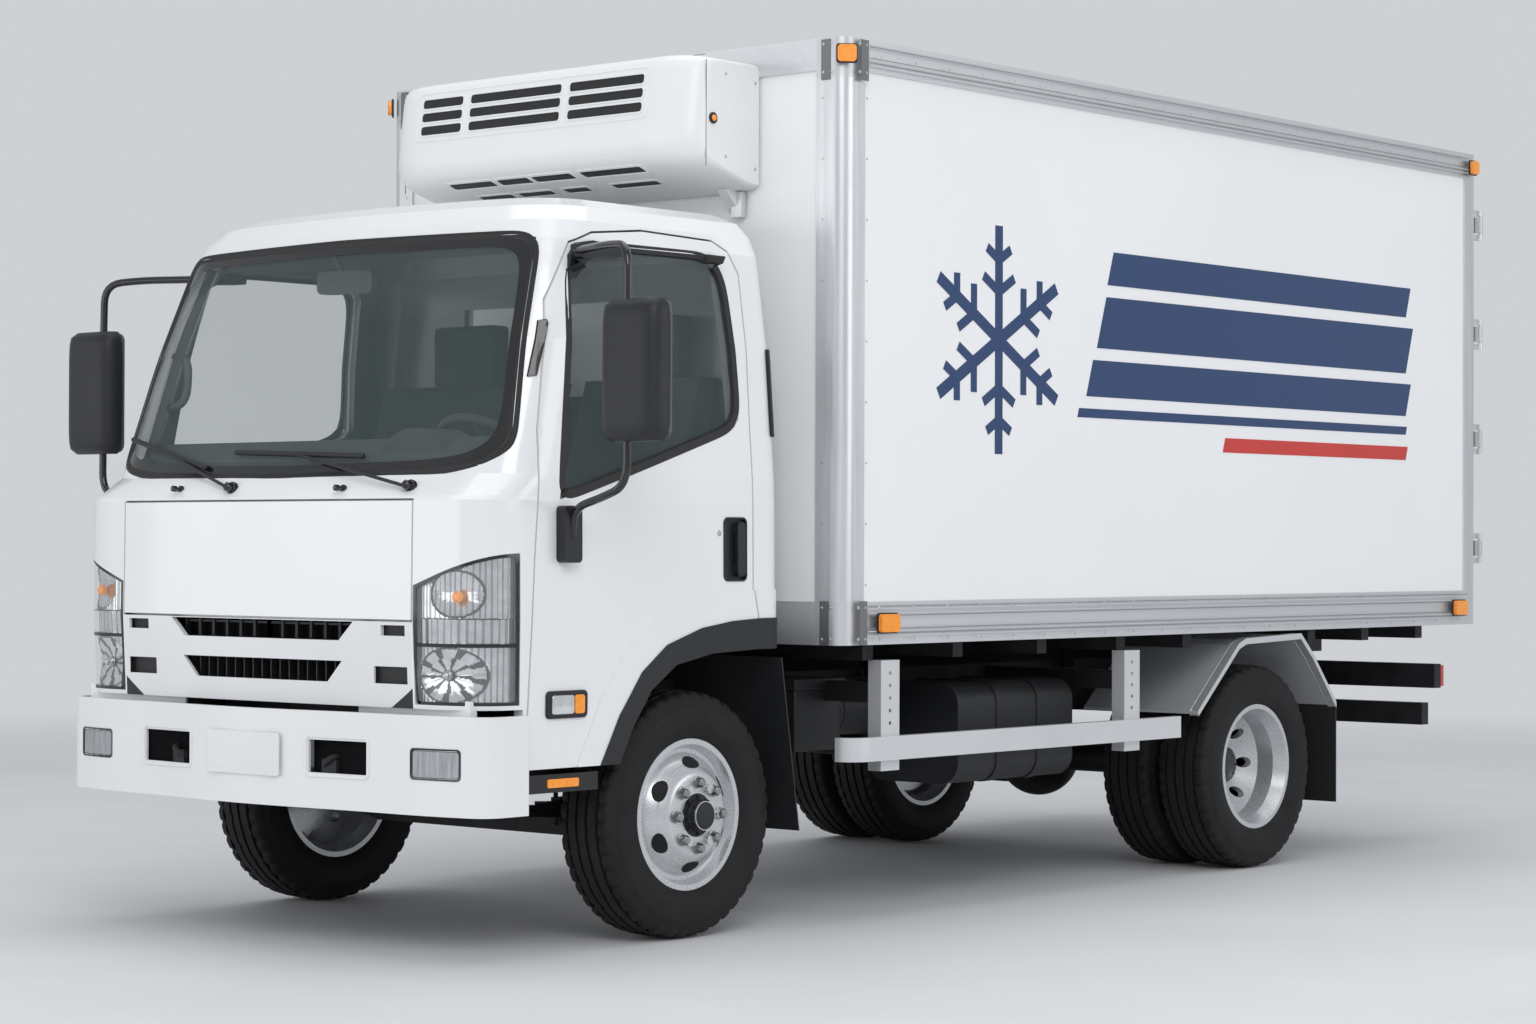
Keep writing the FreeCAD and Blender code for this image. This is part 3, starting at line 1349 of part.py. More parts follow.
def make_unit():
    shell = unit_form(0)
    ridge_y = unit_front_y + unit_lean + seat_gap
    edges = []
    for e in shell.Edges:
        box = e.BoundBox
        on_top_front = box.ZMin > unit_top_z - seat_gap and box.YMax < ridge_y
        upright_front = box.YMax < ridge_y and box.ZLength > over / 2
        if on_top_front or upright_front:
            edges.append(e)
    shell = shell.makeFillet(unit_round, edges)
    shell = shell.cut(unit_form(unit_wall))
    tall = unit_top_z - unit_front_low_z
    rows = len(grille_row_z_share) - 1
    for i in range(rows):
        z0 = unit_front_low_z + grille_row_z_share[i] * tall
        z1 = unit_front_low_z + grille_row_z_share[i + 1] * tall - unit_bar
        for a, b in grille_column_shares:
            shell = shell.cut(block(a * grille_half_width, b * grille_half_width, unit_front_y - over,
                                    unit_front_y + unit_lean + unit_wall * 2, z0, z1))
    for share in under_row_share:
        y = unit_front_y + unit_round + share * (unit_reach - unit_round - unit_foot)
        for a, b in under_slot_shares:
            shell = shell.cut(block(a * unit_half_width, b * unit_half_width, y, y + under_slot_depth,
                                    unit_low_z - over, unit_front_low_z + unit_wall))
    seam = unit_form(-unit_seam_width).cut(unit_form(unit_seam_width))
    seam = seam.common(block(-far, far, unit_seam_y, unit_seam_y + unit_seam_width, 0, far))
    shell = shell.cut(seam)
    bracket = slab_x([(box_nose_y - unit_bracket_reach, unit_low_z), (box_nose_y, unit_low_z - unit_bracket_drop),
                      (box_nose_y, unit_low_z)], unit_bracket_x, unit_bracket_x + unit_bracket_width)
    put("cooling_unit_cover", fused([shell, bracket, mirrored(bracket)]))
    core = block(-unit_half_width + unit_wall * 3, unit_half_width - unit_wall * 3, unit_front_y + unit_wall * 4,
                 box_nose_y, unit_front_low_z + unit_wall * 2, unit_top_z - unit_wall * 2)
    y0 = box_nose_y + box_wall
    evaporator = block(-evaporator_half_width, evaporator_half_width, y0, y0 + evaporator_depth,
                       box_top_z - box_wall - evaporator_height, box_top_z - box_wall)
    put("cooling_unit_core", group(core, evaporator))


# bumper and lower gear
def bumper_plan(inset):
    span = bumper_side_y - y_front
    w = bumper_half_width - inset
    pts = [(a * w, y_front + b * span + inset) for a, b in bumper_plan_share]
    corner = (bumper_corner_share[0] * w, y_front + bumper_corner_share[1] * span + inset)
    right = [vec(x, y, 0) for x, y in pts]
    left = [vec(-p.x, p.y, 0) for p in right[:0:-1]]
    curve = Part.BSplineCurve()
    curve.interpolate(left + right)
    front = curve.toShape()
    last = right[-1]

    def bend(p, q, r):
        c = Part.BezierCurve()
        c.setPoles([p, q, r])
        return c.toShape()

    side = vec(w, y_front + bumper_bend_share[0] * span, 0)
    end = vec(w, bumper_side_y, 0)
    pole = vec(w, corner[1] - (corner[1] - last.y) * bumper_bend_share[1], 0)
    m = [vec(-p.x, p.y, 0) for p in (last, pole, side, end)]
    edges = [front, bend(last, pole, side), Part.makeLine(side, end), Part.makeLine(end, m[3]),
             Part.makeLine(m[3], m[2]), bend(m[2], m[1], m[0])]
    return Part.Face(Part.Wire(Part.__sortEdges__(edges)))


def make_bumper():
    tall = bumper_top_z - bumper_low_z
    outer = bumper_plan(0).extrude(AZ * tall)
    inner = bumper_plan(bumper_wall).extrude(AZ * (tall - bumper_wall + over))
    open_top = bumper_plan(bumper_wall + bumper_flange).extrude(AZ * (tall + over))
    inner.translate(vec(0, 0, -over))
    skin = outer.cut(inner).cut(open_top)
    back = block(-far, far, bumper_side_y, bumper_side_y + over, -over, far)
    skin = skin.cut(back)
    inside = bumper_half_width - bumper_wall - bumper_flange
    open_inside = block(-inside, inside, bumper_side_y - bumper_wall * 2, bumper_side_y + over, -over, far)
    skin = skin.cut(open_inside)
    skin.translate(vec(0, 0, bumper_low_z))
    for x0, x1, z0, z1 in ((intake_inner_x, intake_outer_x, intake_low_z, intake_top_z),
                           (fog_inner_x, fog_outer_x, fog_low_z, fog_top_z)):
        hole = block(x0, x1, y_front - over, y_front + over / 2, z0, z1)
        skin = skin.cut(hole).cut(mirrored(hole))
    fog = block(fog_inner_x, fog_outer_x, y_front - over, y_front + over / 2, fog_low_z - bumper_low_z,
                fog_top_z - bumper_low_z)
    lens = bumper_plan(fog_recess).extrude(AZ * tall).common(fog)
    lens = lens.cut(bumper_plan(fog_recess + fog_depth).extrude(AZ * tall))
    lens.translate(vec(0, 0, bumper_low_z))
    put("front_bumper", group(skin, both(lens)))


def make_tank():
    body = block(tank_inner_x, tank_outer_x, tank_front_y, tank_rear_y, tank_low_z, tank_top_z)
    edges = [e for e in body.Edges if e.BoundBox.YLength > over]
    body = body.makeFillet(tank_round, edges)
    straps = []
    for y in strap_ys:
        y0 = y - strap_width / 2
        wrap = block(tank_inner_x - strap_wall, tank_outer_x + strap_wall, y0, y0 + strap_width,
                     tank_low_z - strap_wall, tank_top_z + strap_wall)
        along = [e for e in wrap.Edges if abs(e.BoundBox.YLength - strap_width) < seat_gap]
        wrap = wrap.makeFillet(tank_round, along)
        hole = block(tank_inner_x, tank_outer_x, y - over, y + over, tank_low_z, tank_top_z)
        hole = hole.makeFillet(tank_round, [e for e in hole.Edges if e.BoundBox.YLength > over])
        arm = block(rail_outer_x, tank_inner_x - strap_wall, y - strap_width / 2, y + strap_width / 2,
                    rail_top_z - rail_height, tank_top_z - tank_round)
        straps.append(wrap.cut(hole).fuse(arm))
    put("fuel_tank", group(body, *straps))


def make_guards():
    rail = block(guard_x - guard_wall, guard_x, guard_front_y + guard_turn, guard_rear_y, guard_low_z, guard_top_z)
    ring = Part.makeCylinder(guard_turn, guard_top_z - guard_low_z,
                             vec(guard_x - guard_turn, guard_front_y + guard_turn, guard_low_z), AZ)
    ring = ring.cut(Part.makeCylinder(guard_turn - guard_wall, over,
                                      vec(guard_x - guard_turn, guard_front_y + guard_turn, guard_low_z), AZ))
    ring = ring.common(block(guard_x - guard_turn, guard_x, guard_front_y, guard_front_y + guard_turn,
                             guard_low_z, guard_top_z))
    posts = []
    for y in guard_post_ys:
        post = guard_post(y)
        arm = block(rail_outer_x, guard_x - guard_wall - bearer_width, y - guard_post_width / 4,
                    y + guard_post_width / 4, rail_top_z - rail_flange, rail_top_z)
        posts.append(post.fuse(arm))
    guard = fused([rail, ring] + posts)
    put("side_guards", both(guard))


def guard_post(y):
    x0 = guard_x - guard_wall - bearer_width
    x1 = guard_x - guard_wall
    half = guard_post_width / 2
    post = block(x0, x1, y - half, y + half, guard_post_low_z, bearer_low_z)
    post = post.cut(block(x0 + rail_wall, x1 - rail_wall, y - half + rail_wall, y + half + over, 0,
                          guard_low_z - rail_wall))
    post = post.cut(block(x0 - over, x1 - rail_wall, y - half + rail_wall, y + half - rail_wall,
                          guard_top_z + rail_wall, rail_top_z - rail_flange - rail_wall))
    z = guard_top_z + guard_hole_pitch
    while z < bearer_low_z - guard_hole_pitch:
        post = post.cut(rod_x(x1 - rail_wall * 2, x1 + over, y, z, guard_hole_radius))
        z += guard_hole_pitch
    return post


def make_fenders():
    pts = []
    for a, b in fender_outline_share:
        pts.append((wheelbase + a * tyre_radius, b * tyre_radius))
    inner = [(y, z - fender_wall) for y, z in pts]
    strips = []
    for (y0, z0), (y1, z1) in zip(pts, pts[1:]):
        strips.append(slab_x([(y0, z0), (y1, z1), (y1, z1 - fender_wall * 2), (y0, z0 - fender_wall * 2)],
                             fender_inner_x, fender_outer_x))
    shell = fused(strips)
    stay_y = wheelbase + tyre_radius * fender_stay_share
    stay = block(rail_outer_x, fender_inner_x + bearer_width, stay_y, stay_y + bearer_width, rail_top_z,
                 rail_top_z + fender_wall * 3)
    hanger = block(fender_inner_x, fender_inner_x + bearer_width, stay_y, stay_y + bearer_width, rail_top_z,
                   bearer_low_z + bearer_width)
    y = wheelbase + fender_outline_share[-1][0] * tyre_radius
    z = fender_outline_share[-1][1] * tyre_radius
    flap = block(fender_inner_x, fender_outer_x, y, y + flap_wall, flap_low_z, z)
    put("rear_mudguards", group(both(fused([shell, stay, hanger])), both(flap)))
    lean = front_guard_wall
    guard = slab_x([(front_guard_top_y, front_guard_top_z), (front_guard_top_y + lean, front_guard_top_z),
                    (front_guard_low_y + lean, front_guard_low_z), (front_guard_low_y, front_guard_low_z)],
                   front_guard_inner_x, cab_half_width)
    arm_y = front_guard_top_y + front_guard_arm / 2
    arm = block(rail_outer_x, front_guard_inner_x + front_guard_arm, arm_y, arm_y + front_guard_wall * 2,
                front_guard_arm_z, front_guard_arm_z + front_guard_arm)
    put("front_mudguards", both(guard.fuse(arm)))


def make_tail():
    y0 = rail_rear_y
    board = block(-box_half_width + post_width, box_half_width - post_width, y0, y0 + board_depth,
                  board_low_z, board_top_z)
    put("tail_lamp_board", board)
    put("tail_lamps", both(tail_lamp(y0 + board_depth)))
    bar = block(-box_half_width + post_reach, box_half_width - post_reach, y0, y0 + board_depth,
                bar_low_z, bar_top_z)
    leg = block(rail_outer_x - rail_flange, rail_outer_x - rail_wall, y0 - rail_flange, y0,
                bar_low_z, rail_top_z - rail_height)
    put("underrun_bar", fused([bar, leg, mirrored(leg)]))


def tail_lamp(y0):
    x1 = box_half_width - post_width - lamp_box_edge
    step = lamp_box_width / lamp_chambers
    housing = []
    for i in range(lamp_chambers):
        lens = block(x1 - (i + 1) * step, x1 - i * step, y0, y0 + lamp_box_depth, board_low_z + lamp_box_edge,
                     board_top_z - lamp_box_edge)
        rear = [e for e in lens.Edges if e.BoundBox.YMin > y0 + lamp_box_depth - seat_gap]
        housing.append(lens.makeFillet(lamp_box_round, rear))
    return fused(housing)


# mirrors
def mirror_head():
    x0 = mirror_head_x - mirror_half_width
    x1 = mirror_head_x + mirror_half_width
    y0 = mirror_head_y - mirror_depth / 2
    y1 = mirror_head_y + mirror_depth / 2
    side_y = y1 - mirror_side_depth
    z0 = mirror_head_z - mirror_half_height
    z1 = mirror_head_z + mirror_half_height
    front = Part.Arc(vec(x0, side_y, z0), vec(mirror_head_x, y0, z0), vec(x1, side_y, z0)).toShape()
    edges = [front, Part.makeLine(vec(x1, side_y, z0), vec(x1, y1, z0)),
             Part.makeLine(vec(x1, y1, z0), vec(x0, y1, z0)), Part.makeLine(vec(x0, y1, z0), vec(x0, side_y, z0))]
    head = Part.Face(Part.Wire(edges)).extrude(AZ * (z1 - z0))
    head = head.makeFillet(mirror_side_depth / 2, [e for e in head.Edges if e.BoundBox.YMin < y1 - seat_gap])
    glass = block(x0 + mirror_rim, x1 - mirror_rim, y1 - mirror_recess, y1 + over, z0 + mirror_rim,
                  z1 - mirror_rim)
    return head.cut(glass)


def make_mirrors(door):
    arm = tube_path([vec(cab_half_width - mirror_root_in, mirror_root_y, mirror_root_z),
                     vec(mirror_arm_top_x, mirror_foot_y, mirror_arm_top_z),
                     vec(mirror_arm_top_x, mirror_head_y, mirror_head_z),
                     vec(mirror_arm_low_x, mirror_head_y, mirror_arm_low_z),
                     vec(cab_half_width, mirror_foot_y, mirror_foot_z)], mirror_tube_radius)
    top_plate = band(side_prism(mirror_top_plate_share, 0, far), -mirror_plate, seat_gap)
    low_plate = band(side_prism(mirror_low_plate_share, 0, far), -mirror_cup, seat_gap)
    mirror = fused([mirror_head(), arm, top_plate, low_plate]).cut(door)
    put("mirror_left", mirror)
    put("mirror_right", mirrored(mirror))


cab_shell, cab_door = make_cab()
make_steps()
make_wipers(cab_shell)
make_inside()
make_frame()
make_front_axle()
make_steering()
make_rear_axle()
make_springs()
make_power()
make_wheels()
make_box()
make_unit()
make_bumper()
make_tank()
make_guards()
make_fenders()
make_tail()
make_mirrors(cab_door)
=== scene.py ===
import json
from math import atan2, copysign, cos, dist, hypot, pi, radians, sin, sqrt, tau
import bpy
from mathutils import Matrix, Vector
from mathutils.bvhtree import BVHTree
from mathutils.geometry import convex_hull_2d

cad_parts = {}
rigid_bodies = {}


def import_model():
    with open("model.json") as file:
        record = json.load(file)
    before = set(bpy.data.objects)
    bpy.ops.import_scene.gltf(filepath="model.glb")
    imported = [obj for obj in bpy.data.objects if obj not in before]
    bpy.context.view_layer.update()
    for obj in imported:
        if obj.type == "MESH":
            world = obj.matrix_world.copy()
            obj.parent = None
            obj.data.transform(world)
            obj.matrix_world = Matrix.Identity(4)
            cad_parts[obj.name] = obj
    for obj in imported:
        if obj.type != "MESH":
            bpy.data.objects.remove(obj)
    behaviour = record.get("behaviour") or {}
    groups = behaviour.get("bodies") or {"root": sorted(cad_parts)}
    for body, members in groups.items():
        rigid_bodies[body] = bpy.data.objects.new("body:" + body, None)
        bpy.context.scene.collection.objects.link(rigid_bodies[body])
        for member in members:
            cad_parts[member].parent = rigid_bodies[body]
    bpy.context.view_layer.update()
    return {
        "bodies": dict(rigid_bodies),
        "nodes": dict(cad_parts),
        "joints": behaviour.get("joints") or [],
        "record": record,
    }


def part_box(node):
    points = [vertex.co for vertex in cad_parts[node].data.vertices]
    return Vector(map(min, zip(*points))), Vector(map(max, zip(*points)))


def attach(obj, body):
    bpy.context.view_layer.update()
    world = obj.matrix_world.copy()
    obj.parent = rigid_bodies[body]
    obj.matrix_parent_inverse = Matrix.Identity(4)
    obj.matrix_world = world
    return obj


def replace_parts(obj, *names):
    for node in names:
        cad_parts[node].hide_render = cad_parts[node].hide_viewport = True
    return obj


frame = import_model()
nodes = frame["nodes"]
scene = bpy.context.scene

# Metres. Places along the truck are measured from the front axle, and at() moves them to the frame.


def middle(node):
    lo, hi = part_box(node)
    return (lo + hi) / 2


tyre_lo, tyre_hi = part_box("tyre_front_left")
axle_y = middle("tyre_front_left").y
tyre_radius = (tyre_hi.z - tyre_lo.z) / 2
tyre_width = tyre_hi.x - tyre_lo.x
UP = Vector((0, 0, 1))
ACROSS = Vector((1, 0, 0))
BACK = Vector((0, 1, 0))
sides = {"left": 1, "right": -1}
bend_reach = 0.06
bend_steps = 6


def at(x, y, z):
    return Vector((x, y + axle_y, z))


def around(centre, out, radius, turn):
    """A point beside a wheel's centre: out along the axle, and on a circle in the wheel's plane."""
    return centre + Vector((out, radius * cos(turn), radius * sin(turn)))


def pairs(loop):
    return zip(loop, loop[1:] + loop[:1])


def turns(count):
    return [tau * k / count for k in range(count)]


# Surfaces of the frame that pieces lie on
def surface(*names):
    verts = []
    faces = []
    for name in names:
        mesh = nodes[name].data
        base = len(verts)
        verts += [v.co.copy() for v in mesh.vertices]
        faces += [[base + i for i in p.vertices] for p in mesh.polygons]
    return BVHTree.FromPolygons(verts, faces)


def hit_front(tree, x, z, result=0):
    """The point that is hit from the front, or its normal if result is 1."""
    return tree.ray_cast(Vector((x, -5, z)), BACK)[result]


# Shapes: a Form gathers points and faces, and make() turns it into a piece
class Form:
    def __init__(self):
        self.verts = []
        self.faces = []

    def add(self, verts, faces):
        base = len(self.verts)
        self.verts += [Vector(v) for v in verts]
        self.faces += [tuple(base + i for i in f) for f in faces]
        return self

    def box(self, *ends):
        """ends are the x, y, z of two corners, measured from the front axle."""
        verts = [at(x, y, z) for x in ends[::3] for y in ends[1::3] for z in ends[2::3]]
        faces = [(0, 1, 3, 2), (4, 6, 7, 5), (0, 4, 5, 1), (2, 3, 7, 6), (0, 2, 6, 4), (1, 5, 7, 3)]
        return self.add(verts, faces)

    def loops(self, loops, closed=True, caps=False):
        count = len(loops[0])
        verts = [p for loop in loops for p in loop]
        faces = []
        for i in range(len(loops) - 1):
            for k in range(count if closed else count - 1):
                a = i * count + k
                b = i * count + (k + 1) % count
                faces.append((a, b, b + count, a + count))
        if caps:
            faces.append(tuple(range(count)))
            faces.append(tuple(range(len(verts) - 1, len(verts) - count - 1, -1)))
        return self.add(verts, faces)

    def closed_by(self, loop):
        return self.add(loop, [tuple(range(len(loop)))])

    def prism(self, outline, move):
        first = [Vector(p) for p in outline]
        return self.loops([first, [p + Vector(move) for p in first]], caps=True)

    def tube(self, points, radius, steps=12):
        rings = []
        side = None
        for i, p in enumerate(points):
            ahead = (points[min(i + 1, len(points) - 1)] - points[max(i - 1, 0)]).normalized()
            if side is None:
                side = ahead.cross(UP if abs(ahead.z) < 0.9 else BACK).normalized()
            side = (side - ahead * side.dot(ahead)).normalized()
            other = ahead.cross(side)
            rings.append([p + (side * cos(t) + other * sin(t)) * radius for t in turns(steps)])
        return self.loops(rings, caps=True)

    def pipe(self, radius, *places):
        """A tube with rounded bends through the places, measured from the front axle."""
        points = [p if isinstance(p, Vector) else at(*p) for p in places]
        path = [points[0]]
        for a, b, c in zip(points, points[1:], points[2:]):
            start, end = (b + (p - b) * min(0.5, bend_reach / (p - b).length) for p in (a, c))
            for t in [k / bend_steps for k in range(bend_steps + 1)]:
                path.append(start * (1 - t) ** 2 + b * 2 * t * (1 - t) + end * t * t)
        return self.tube(path + [points[-1]], radius)

    def turned(self, profile, centre, axis, steps=32):
        """profile holds (distance along the axis, radius) pairs."""
        axis = Vector(axis).normalized()
        side = axis.cross(UP if abs(axis.z) < 0.9 else ACROSS).normalized()
        other = axis.cross(side)
        return self.loops([[Vector(centre) + axis * along + (side * cos(t) + other * sin(t)) * radius
                            for t in turns(steps)] for along, radius in profile], caps=True)

    def dome(self, spot, axis, radius, height):
        return self.turned([(0, radius), (height * 0.6, radius * 0.8), (height, radius * 0.35)], spot, axis, 8)

    def mirrored(self):
        return Form().add([(-v.x, v.y, v.z) for v in self.verts], [tuple(reversed(f)) for f in self.faces])

    def both(self):
        other = self.mirrored()
        return self.add(other.verts, other.faces)


def make(form, name, look, body="chassis", smooth=40, bevel=0.0, slot=None):
    """A piece of the form; smooth is the angle in degrees from which edges stay sharp."""
    mesh = bpy.data.meshes.new(name)
    mesh.from_pydata([tuple(v) for v in form.verts], [], form.faces)
    mesh.validate()
    piece = bpy.data.objects.new(name, mesh)
    scene.collection.objects.link(piece)
    mesh.materials.append(look.owner)
    if bevel:
        edge = piece.modifiers.new("edge", "BEVEL")
        edge.width = bevel
        edge.segments = 2
        edge.limit_method = "ANGLE"
    if smooth:
        mesh.polygons.foreach_set("use_smooth", [True] * len(mesh.polygons))
        mesh.set_sharp_from_angle(angle=radians(smooth))
    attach(piece, body)
    return piece


def make_pair(form, name, look, body, *more, **settings):
    """The form on the left and its mirror image on the right, each on its own side's body."""
    return [make(one, name + side, look, body + side, *more, **settings)
            for one, side in ((form, "_left"), (form.mirrored(), "_right"))]


# Looks
class Nodes:
    """The shader nodes of a material or of the world."""
    def __init__(self, owner, slot=None):
        owner.use_nodes = True
        self.owner = owner
        self.slot = slot
        self.parts = owner.node_tree.nodes
        self.links = owner.node_tree.links

    def put(self, sockets, values):
        """Links each socket to another socket or sets it to a value."""
        for key, value in values.items():
            if hasattr(value, "links"):
                self.links.new(value, sockets[key])
            else:
                sockets[key].default_value = value

    def shade(self, values):
        self.put(self.parts["Principled BSDF"].inputs, values)

    def node(self, kind, values, **settings):
        part = self.parts.new("ShaderNode" + kind)
        for key, value in settings.items():
            setattr(part, key, value)
        self.put(part.inputs, values)
        return part.outputs

    def math(self, kind, *values):
        return self.node("Math", dict(enumerate(values)), operation=kind)["Value"]

    def place(self):
        return self.node("TexCoord", {})["Object"]

    def noise(self, scale, stretch=(1, 1, 1), detail=3):
        turned = self.node("Mapping", {"Scale": stretch, "Vector": self.place()})["Vector"]
        return self.node("TexNoise", {"Scale": scale, "Detail": detail, "Vector": turned})["Fac"]

    def spread(self, source, low, high, start=0.3, end=0.7):
        return self.node("MapRange", {"Value": source, "From Min": start, "From Max": end, "To Min": low,
                                      "To Max": high})["Result"]

    def blend(self, share, first, second):
        return self.node("Mix", {"Factor": share, "A": first, "B": second}, data_type="RGBA")["Result"]

    def ramp(self, source, low, high, stops):
        """A value read from (place, value) stops; the first two are at low and high of the source."""
        band = self.parts.new("ShaderNodeValToRGB")
        points = band.color_ramp.elements
        for k, (where, value) in enumerate(stops):
            share = (where - low) / (high - low)
            point = points[k] if k < 2 else points.new(share)
            point.position = share
            point.color = (value, value, value, 1)
        self.put(band.inputs, {"Fac": self.spread(source, 0, 1, low, high)})
        return band.outputs["Color"]


def look_of(name, colour, rough, metal=0.0, vary=0.06, spots=2.5, bump=0.05, grain=300.0,
            stretch=(1, 1, 1), coat=0.0, alpha=1.0, wear=0.05, glow=0.0, shine=0.5, slot=None):
    """vary and spots are the colour's change and its scale, wear the change of the roughness at the grain."""
    look = Nodes(bpy.data.materials.new(name), slot)
    dark = (*(c * (1 - vary) for c in colour), 1)
    light = (*(min(c * (1 + vary), 1) for c in colour), 1)
    spot = look.spread(look.noise(spots, stretch), 0, 1)
    fine = look.noise(grain, stretch, 2)
    look.shade({"Metallic": metal, "Specular IOR Level": shine, "Coat Weight": coat, "Coat Roughness": 0.06,
                "Alpha": alpha, "Base Color": look.blend(spot, dark, light),
                "Roughness": look.spread(fine, max(rough - wear, 0), min(rough + wear, 1)),
                "Normal": look.node("Bump", {"Strength": bump, "Distance": 0.001, "Height": fine})["Normal"]})
    if glow:
        look.shade({"Emission Color": (*colour, 1), "Emission Strength": glow})
    if alpha < 1:
        look.owner.surface_render_method = "BLENDED"
    return look


def two_looks(name, axis, limit, near, far, mirrored=False):
    """near and far are (colour, roughness, metal); far is past the limit on the axis, both ways if mirrored."""
    look = Nodes(bpy.data.materials.new(name))
    along = look.node("SeparateXYZ", {"Vector": look.place()})[axis]
    share = look.math("GREATER_THAN", look.math("ABSOLUTE", along) if mirrored else along, limit)
    colour = look.blend(share, (*near[0], 1), (*far[0], 1))
    worn = {0: colour, "Scale": look.spread(look.noise(2.5), 0.92, 1.0)}
    look.shade({"Base Color": look.node("VectorMath", worn, operation="SCALE")["Vector"],
                "Roughness": look.spread(share, near[1], far[1], 0, 1),
                "Metallic": look.spread(share, near[2], far[2], 0, 1)})
    return look


# (height, how far from the middle the lining begins) and (height, how far behind the nose it begins)
side_stops = ((1.2, 0.845), (2.12, 0.0), (1.7, 0.812), (1.985, 0.767), (2.02, 0.744), (2.067, 0.707),
              (2.094, 0.648), (2.108, 0.5), (2.115, 0.0))
front_stops = ((1.2, 0.14), (2.12, 0.9), (1.262, 0.145), (1.325, 0.185), (1.7, 0.315), (1.985, 0.42),
               (2.03, 0.45), (2.07, 0.5), (2.1, 0.6))
lining_stops = ((0.9, 0.015), (2.1, 0.3), (1.05, 0.05), (1.55, 0.09), (1.85, 0.12), (1.95, 0.26))
nose_bow = 0.085
rear_wall_y = 0.344
corner_room = 0.095
paint_coat = 0.6


def lined_look(name, paint):
    """White paint outside, grey lining on what faces into the cab: the limits run between the two skins."""
    look = look_of(name, paint, 0.22, vary=0.012, bump=0.012, grain=700, coat=paint_coat)
    shader = look.parts["Principled BSDF"]
    painted = shader.inputs["Base Color"].links[0].from_socket
    x, y, z = look.node("SeparateXYZ", {"Vector": look.place()})
    across = look.math("ABSOLUTE", x)
    side_limit = look.ramp(z, 1.2, 2.12, side_stops)
    front_limit = look.ramp(z, 1.2, 2.12, front_stops)
    bow = look.math("MULTIPLY", look.math("POWER", across, 2), nose_bow)
    deep = look.math("SUBTRACT", look.math("SUBTRACT", y, axle_y - 1.0), bow)
    inside = look.math("MULTIPLY", look.math("LESS_THAN", across, side_limit),
                       look.math("GREATER_THAN", deep, front_limit))
    from_corner = look.math("ADD", look.math("SUBTRACT", side_limit, across),
                            look.math("SUBTRACT", deep, front_limit))
    share = look.math("MULTIPLY", inside, look.math("MULTIPLY", look.math("LESS_THAN", y, axle_y + rear_wall_y),
                                                    look.math("GREATER_THAN", from_corner, corner_room)))
    look.shade({"Base Color": look.blend(share, painted, look.ramp(z, 0.9, 2.1, lining_stops)),
                "Coat Weight": look.math("MULTIPLY_ADD", share, -paint_coat, paint_coat)})
    return look


paint_colour = (0.86, 0.87, 0.88)
panel_colour = (0.93, 0.935, 0.945)
panel_grain = {"vary": 0.015, "spots": 1.2, "bump": 0.02, "grain": 60}
lamp_grain = {"vary": 0.12, "spots": 90, "bump": 0.3, "grain": 420, "coat": 0.6}
cab_lined = lined_look("cab_paint_and_lining", paint_colour)
cab_white = look_of("cab_white_paint", paint_colour, 0.22, vary=0.012, bump=0.012, grain=700, coat=paint_coat)
panel_white = look_of("box_panel_white", panel_colour, 0.36, coat=0.15, **panel_grain)
roof_white = look_of("box_roof_white", panel_colour, 0.7, shine=0.1, **panel_grain)
unit_white = look_of("unit_white_plastic", (0.86, 0.87, 0.87), 0.34, vary=0.012, bump=0.05, grain=500,
                     slot="white_paint")
bumper_white = look_of("bumper_white", (0.84, 0.85, 0.86), 0.28, vary=0.015, bump=0.02, grain=600, coat=0.4,
                       slot="white_paint")
aluminium = look_of("brushed_aluminium", (0.7, 0.71, 0.73), 0.36, metal=0.75, vary=0.08, spots=60,
                    stretch=(1, 1, 0.03), bump=0.05, grain=900, slot="bare_aluminium")
rail_metal = look_of("rail_aluminium", (0.72, 0.73, 0.75), 0.36, metal=0.7, vary=0.03, spots=60,
                     stretch=(1, 0.03, 1), bump=0.05, grain=900, slot="bare_aluminium")
cast_grey = look_of("cast_corner_grey", (0.64, 0.65, 0.67), 0.42, metal=0.65, vary=0.05, bump=0.1, grain=500)
flange_grey = look_of("corner_flange_grey", (0.2, 0.205, 0.215), 0.45, metal=0.6, vary=0.08, bump=0.1,
                      grain=500, slot="corner_grey")
zinc = look_of("zinc_plated_steel", (0.6, 0.61, 0.62), 0.42, metal=0.6, vary=0.12, spots=12, bump=0.08)
guard_looks = two_looks("guard_rail_and_arms", 0, 0.885, ((0.016, 0.016, 0.018), 0.5, 0.0),
                        ((0.74, 0.75, 0.77), 0.3, 0.35), mirrored=True)
guard_white = look_of("guard_rail_paint", (0.8, 0.81, 0.82), 0.3, metal=0.2, vary=0.03, bump=0.03, coat=0.2,
                      slot="white_paint")
flap_edge_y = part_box("rear_mudguards")[1].y - 0.0065
fender_looks = two_looks("mudguard_metal_and_flap", 1, flap_edge_y, ((0.62, 0.63, 0.65), 0.4, 0.4),
                         ((0.016, 0.016, 0.017), 0.6, 0.0))
chassis_black = look_of("chassis_black", (0.02, 0.02, 0.022), 0.46, vary=0.35, spots=9, bump=0.25, grain=180,
                        wear=0.12, shine=0.22, slot="chassis_paint")
plastic = look_of("black_plastic", (0.02, 0.021, 0.023), 0.42, vary=0.12, bump=0.25, grain=1400, shine=0.35,
                  slot="black_plastic")
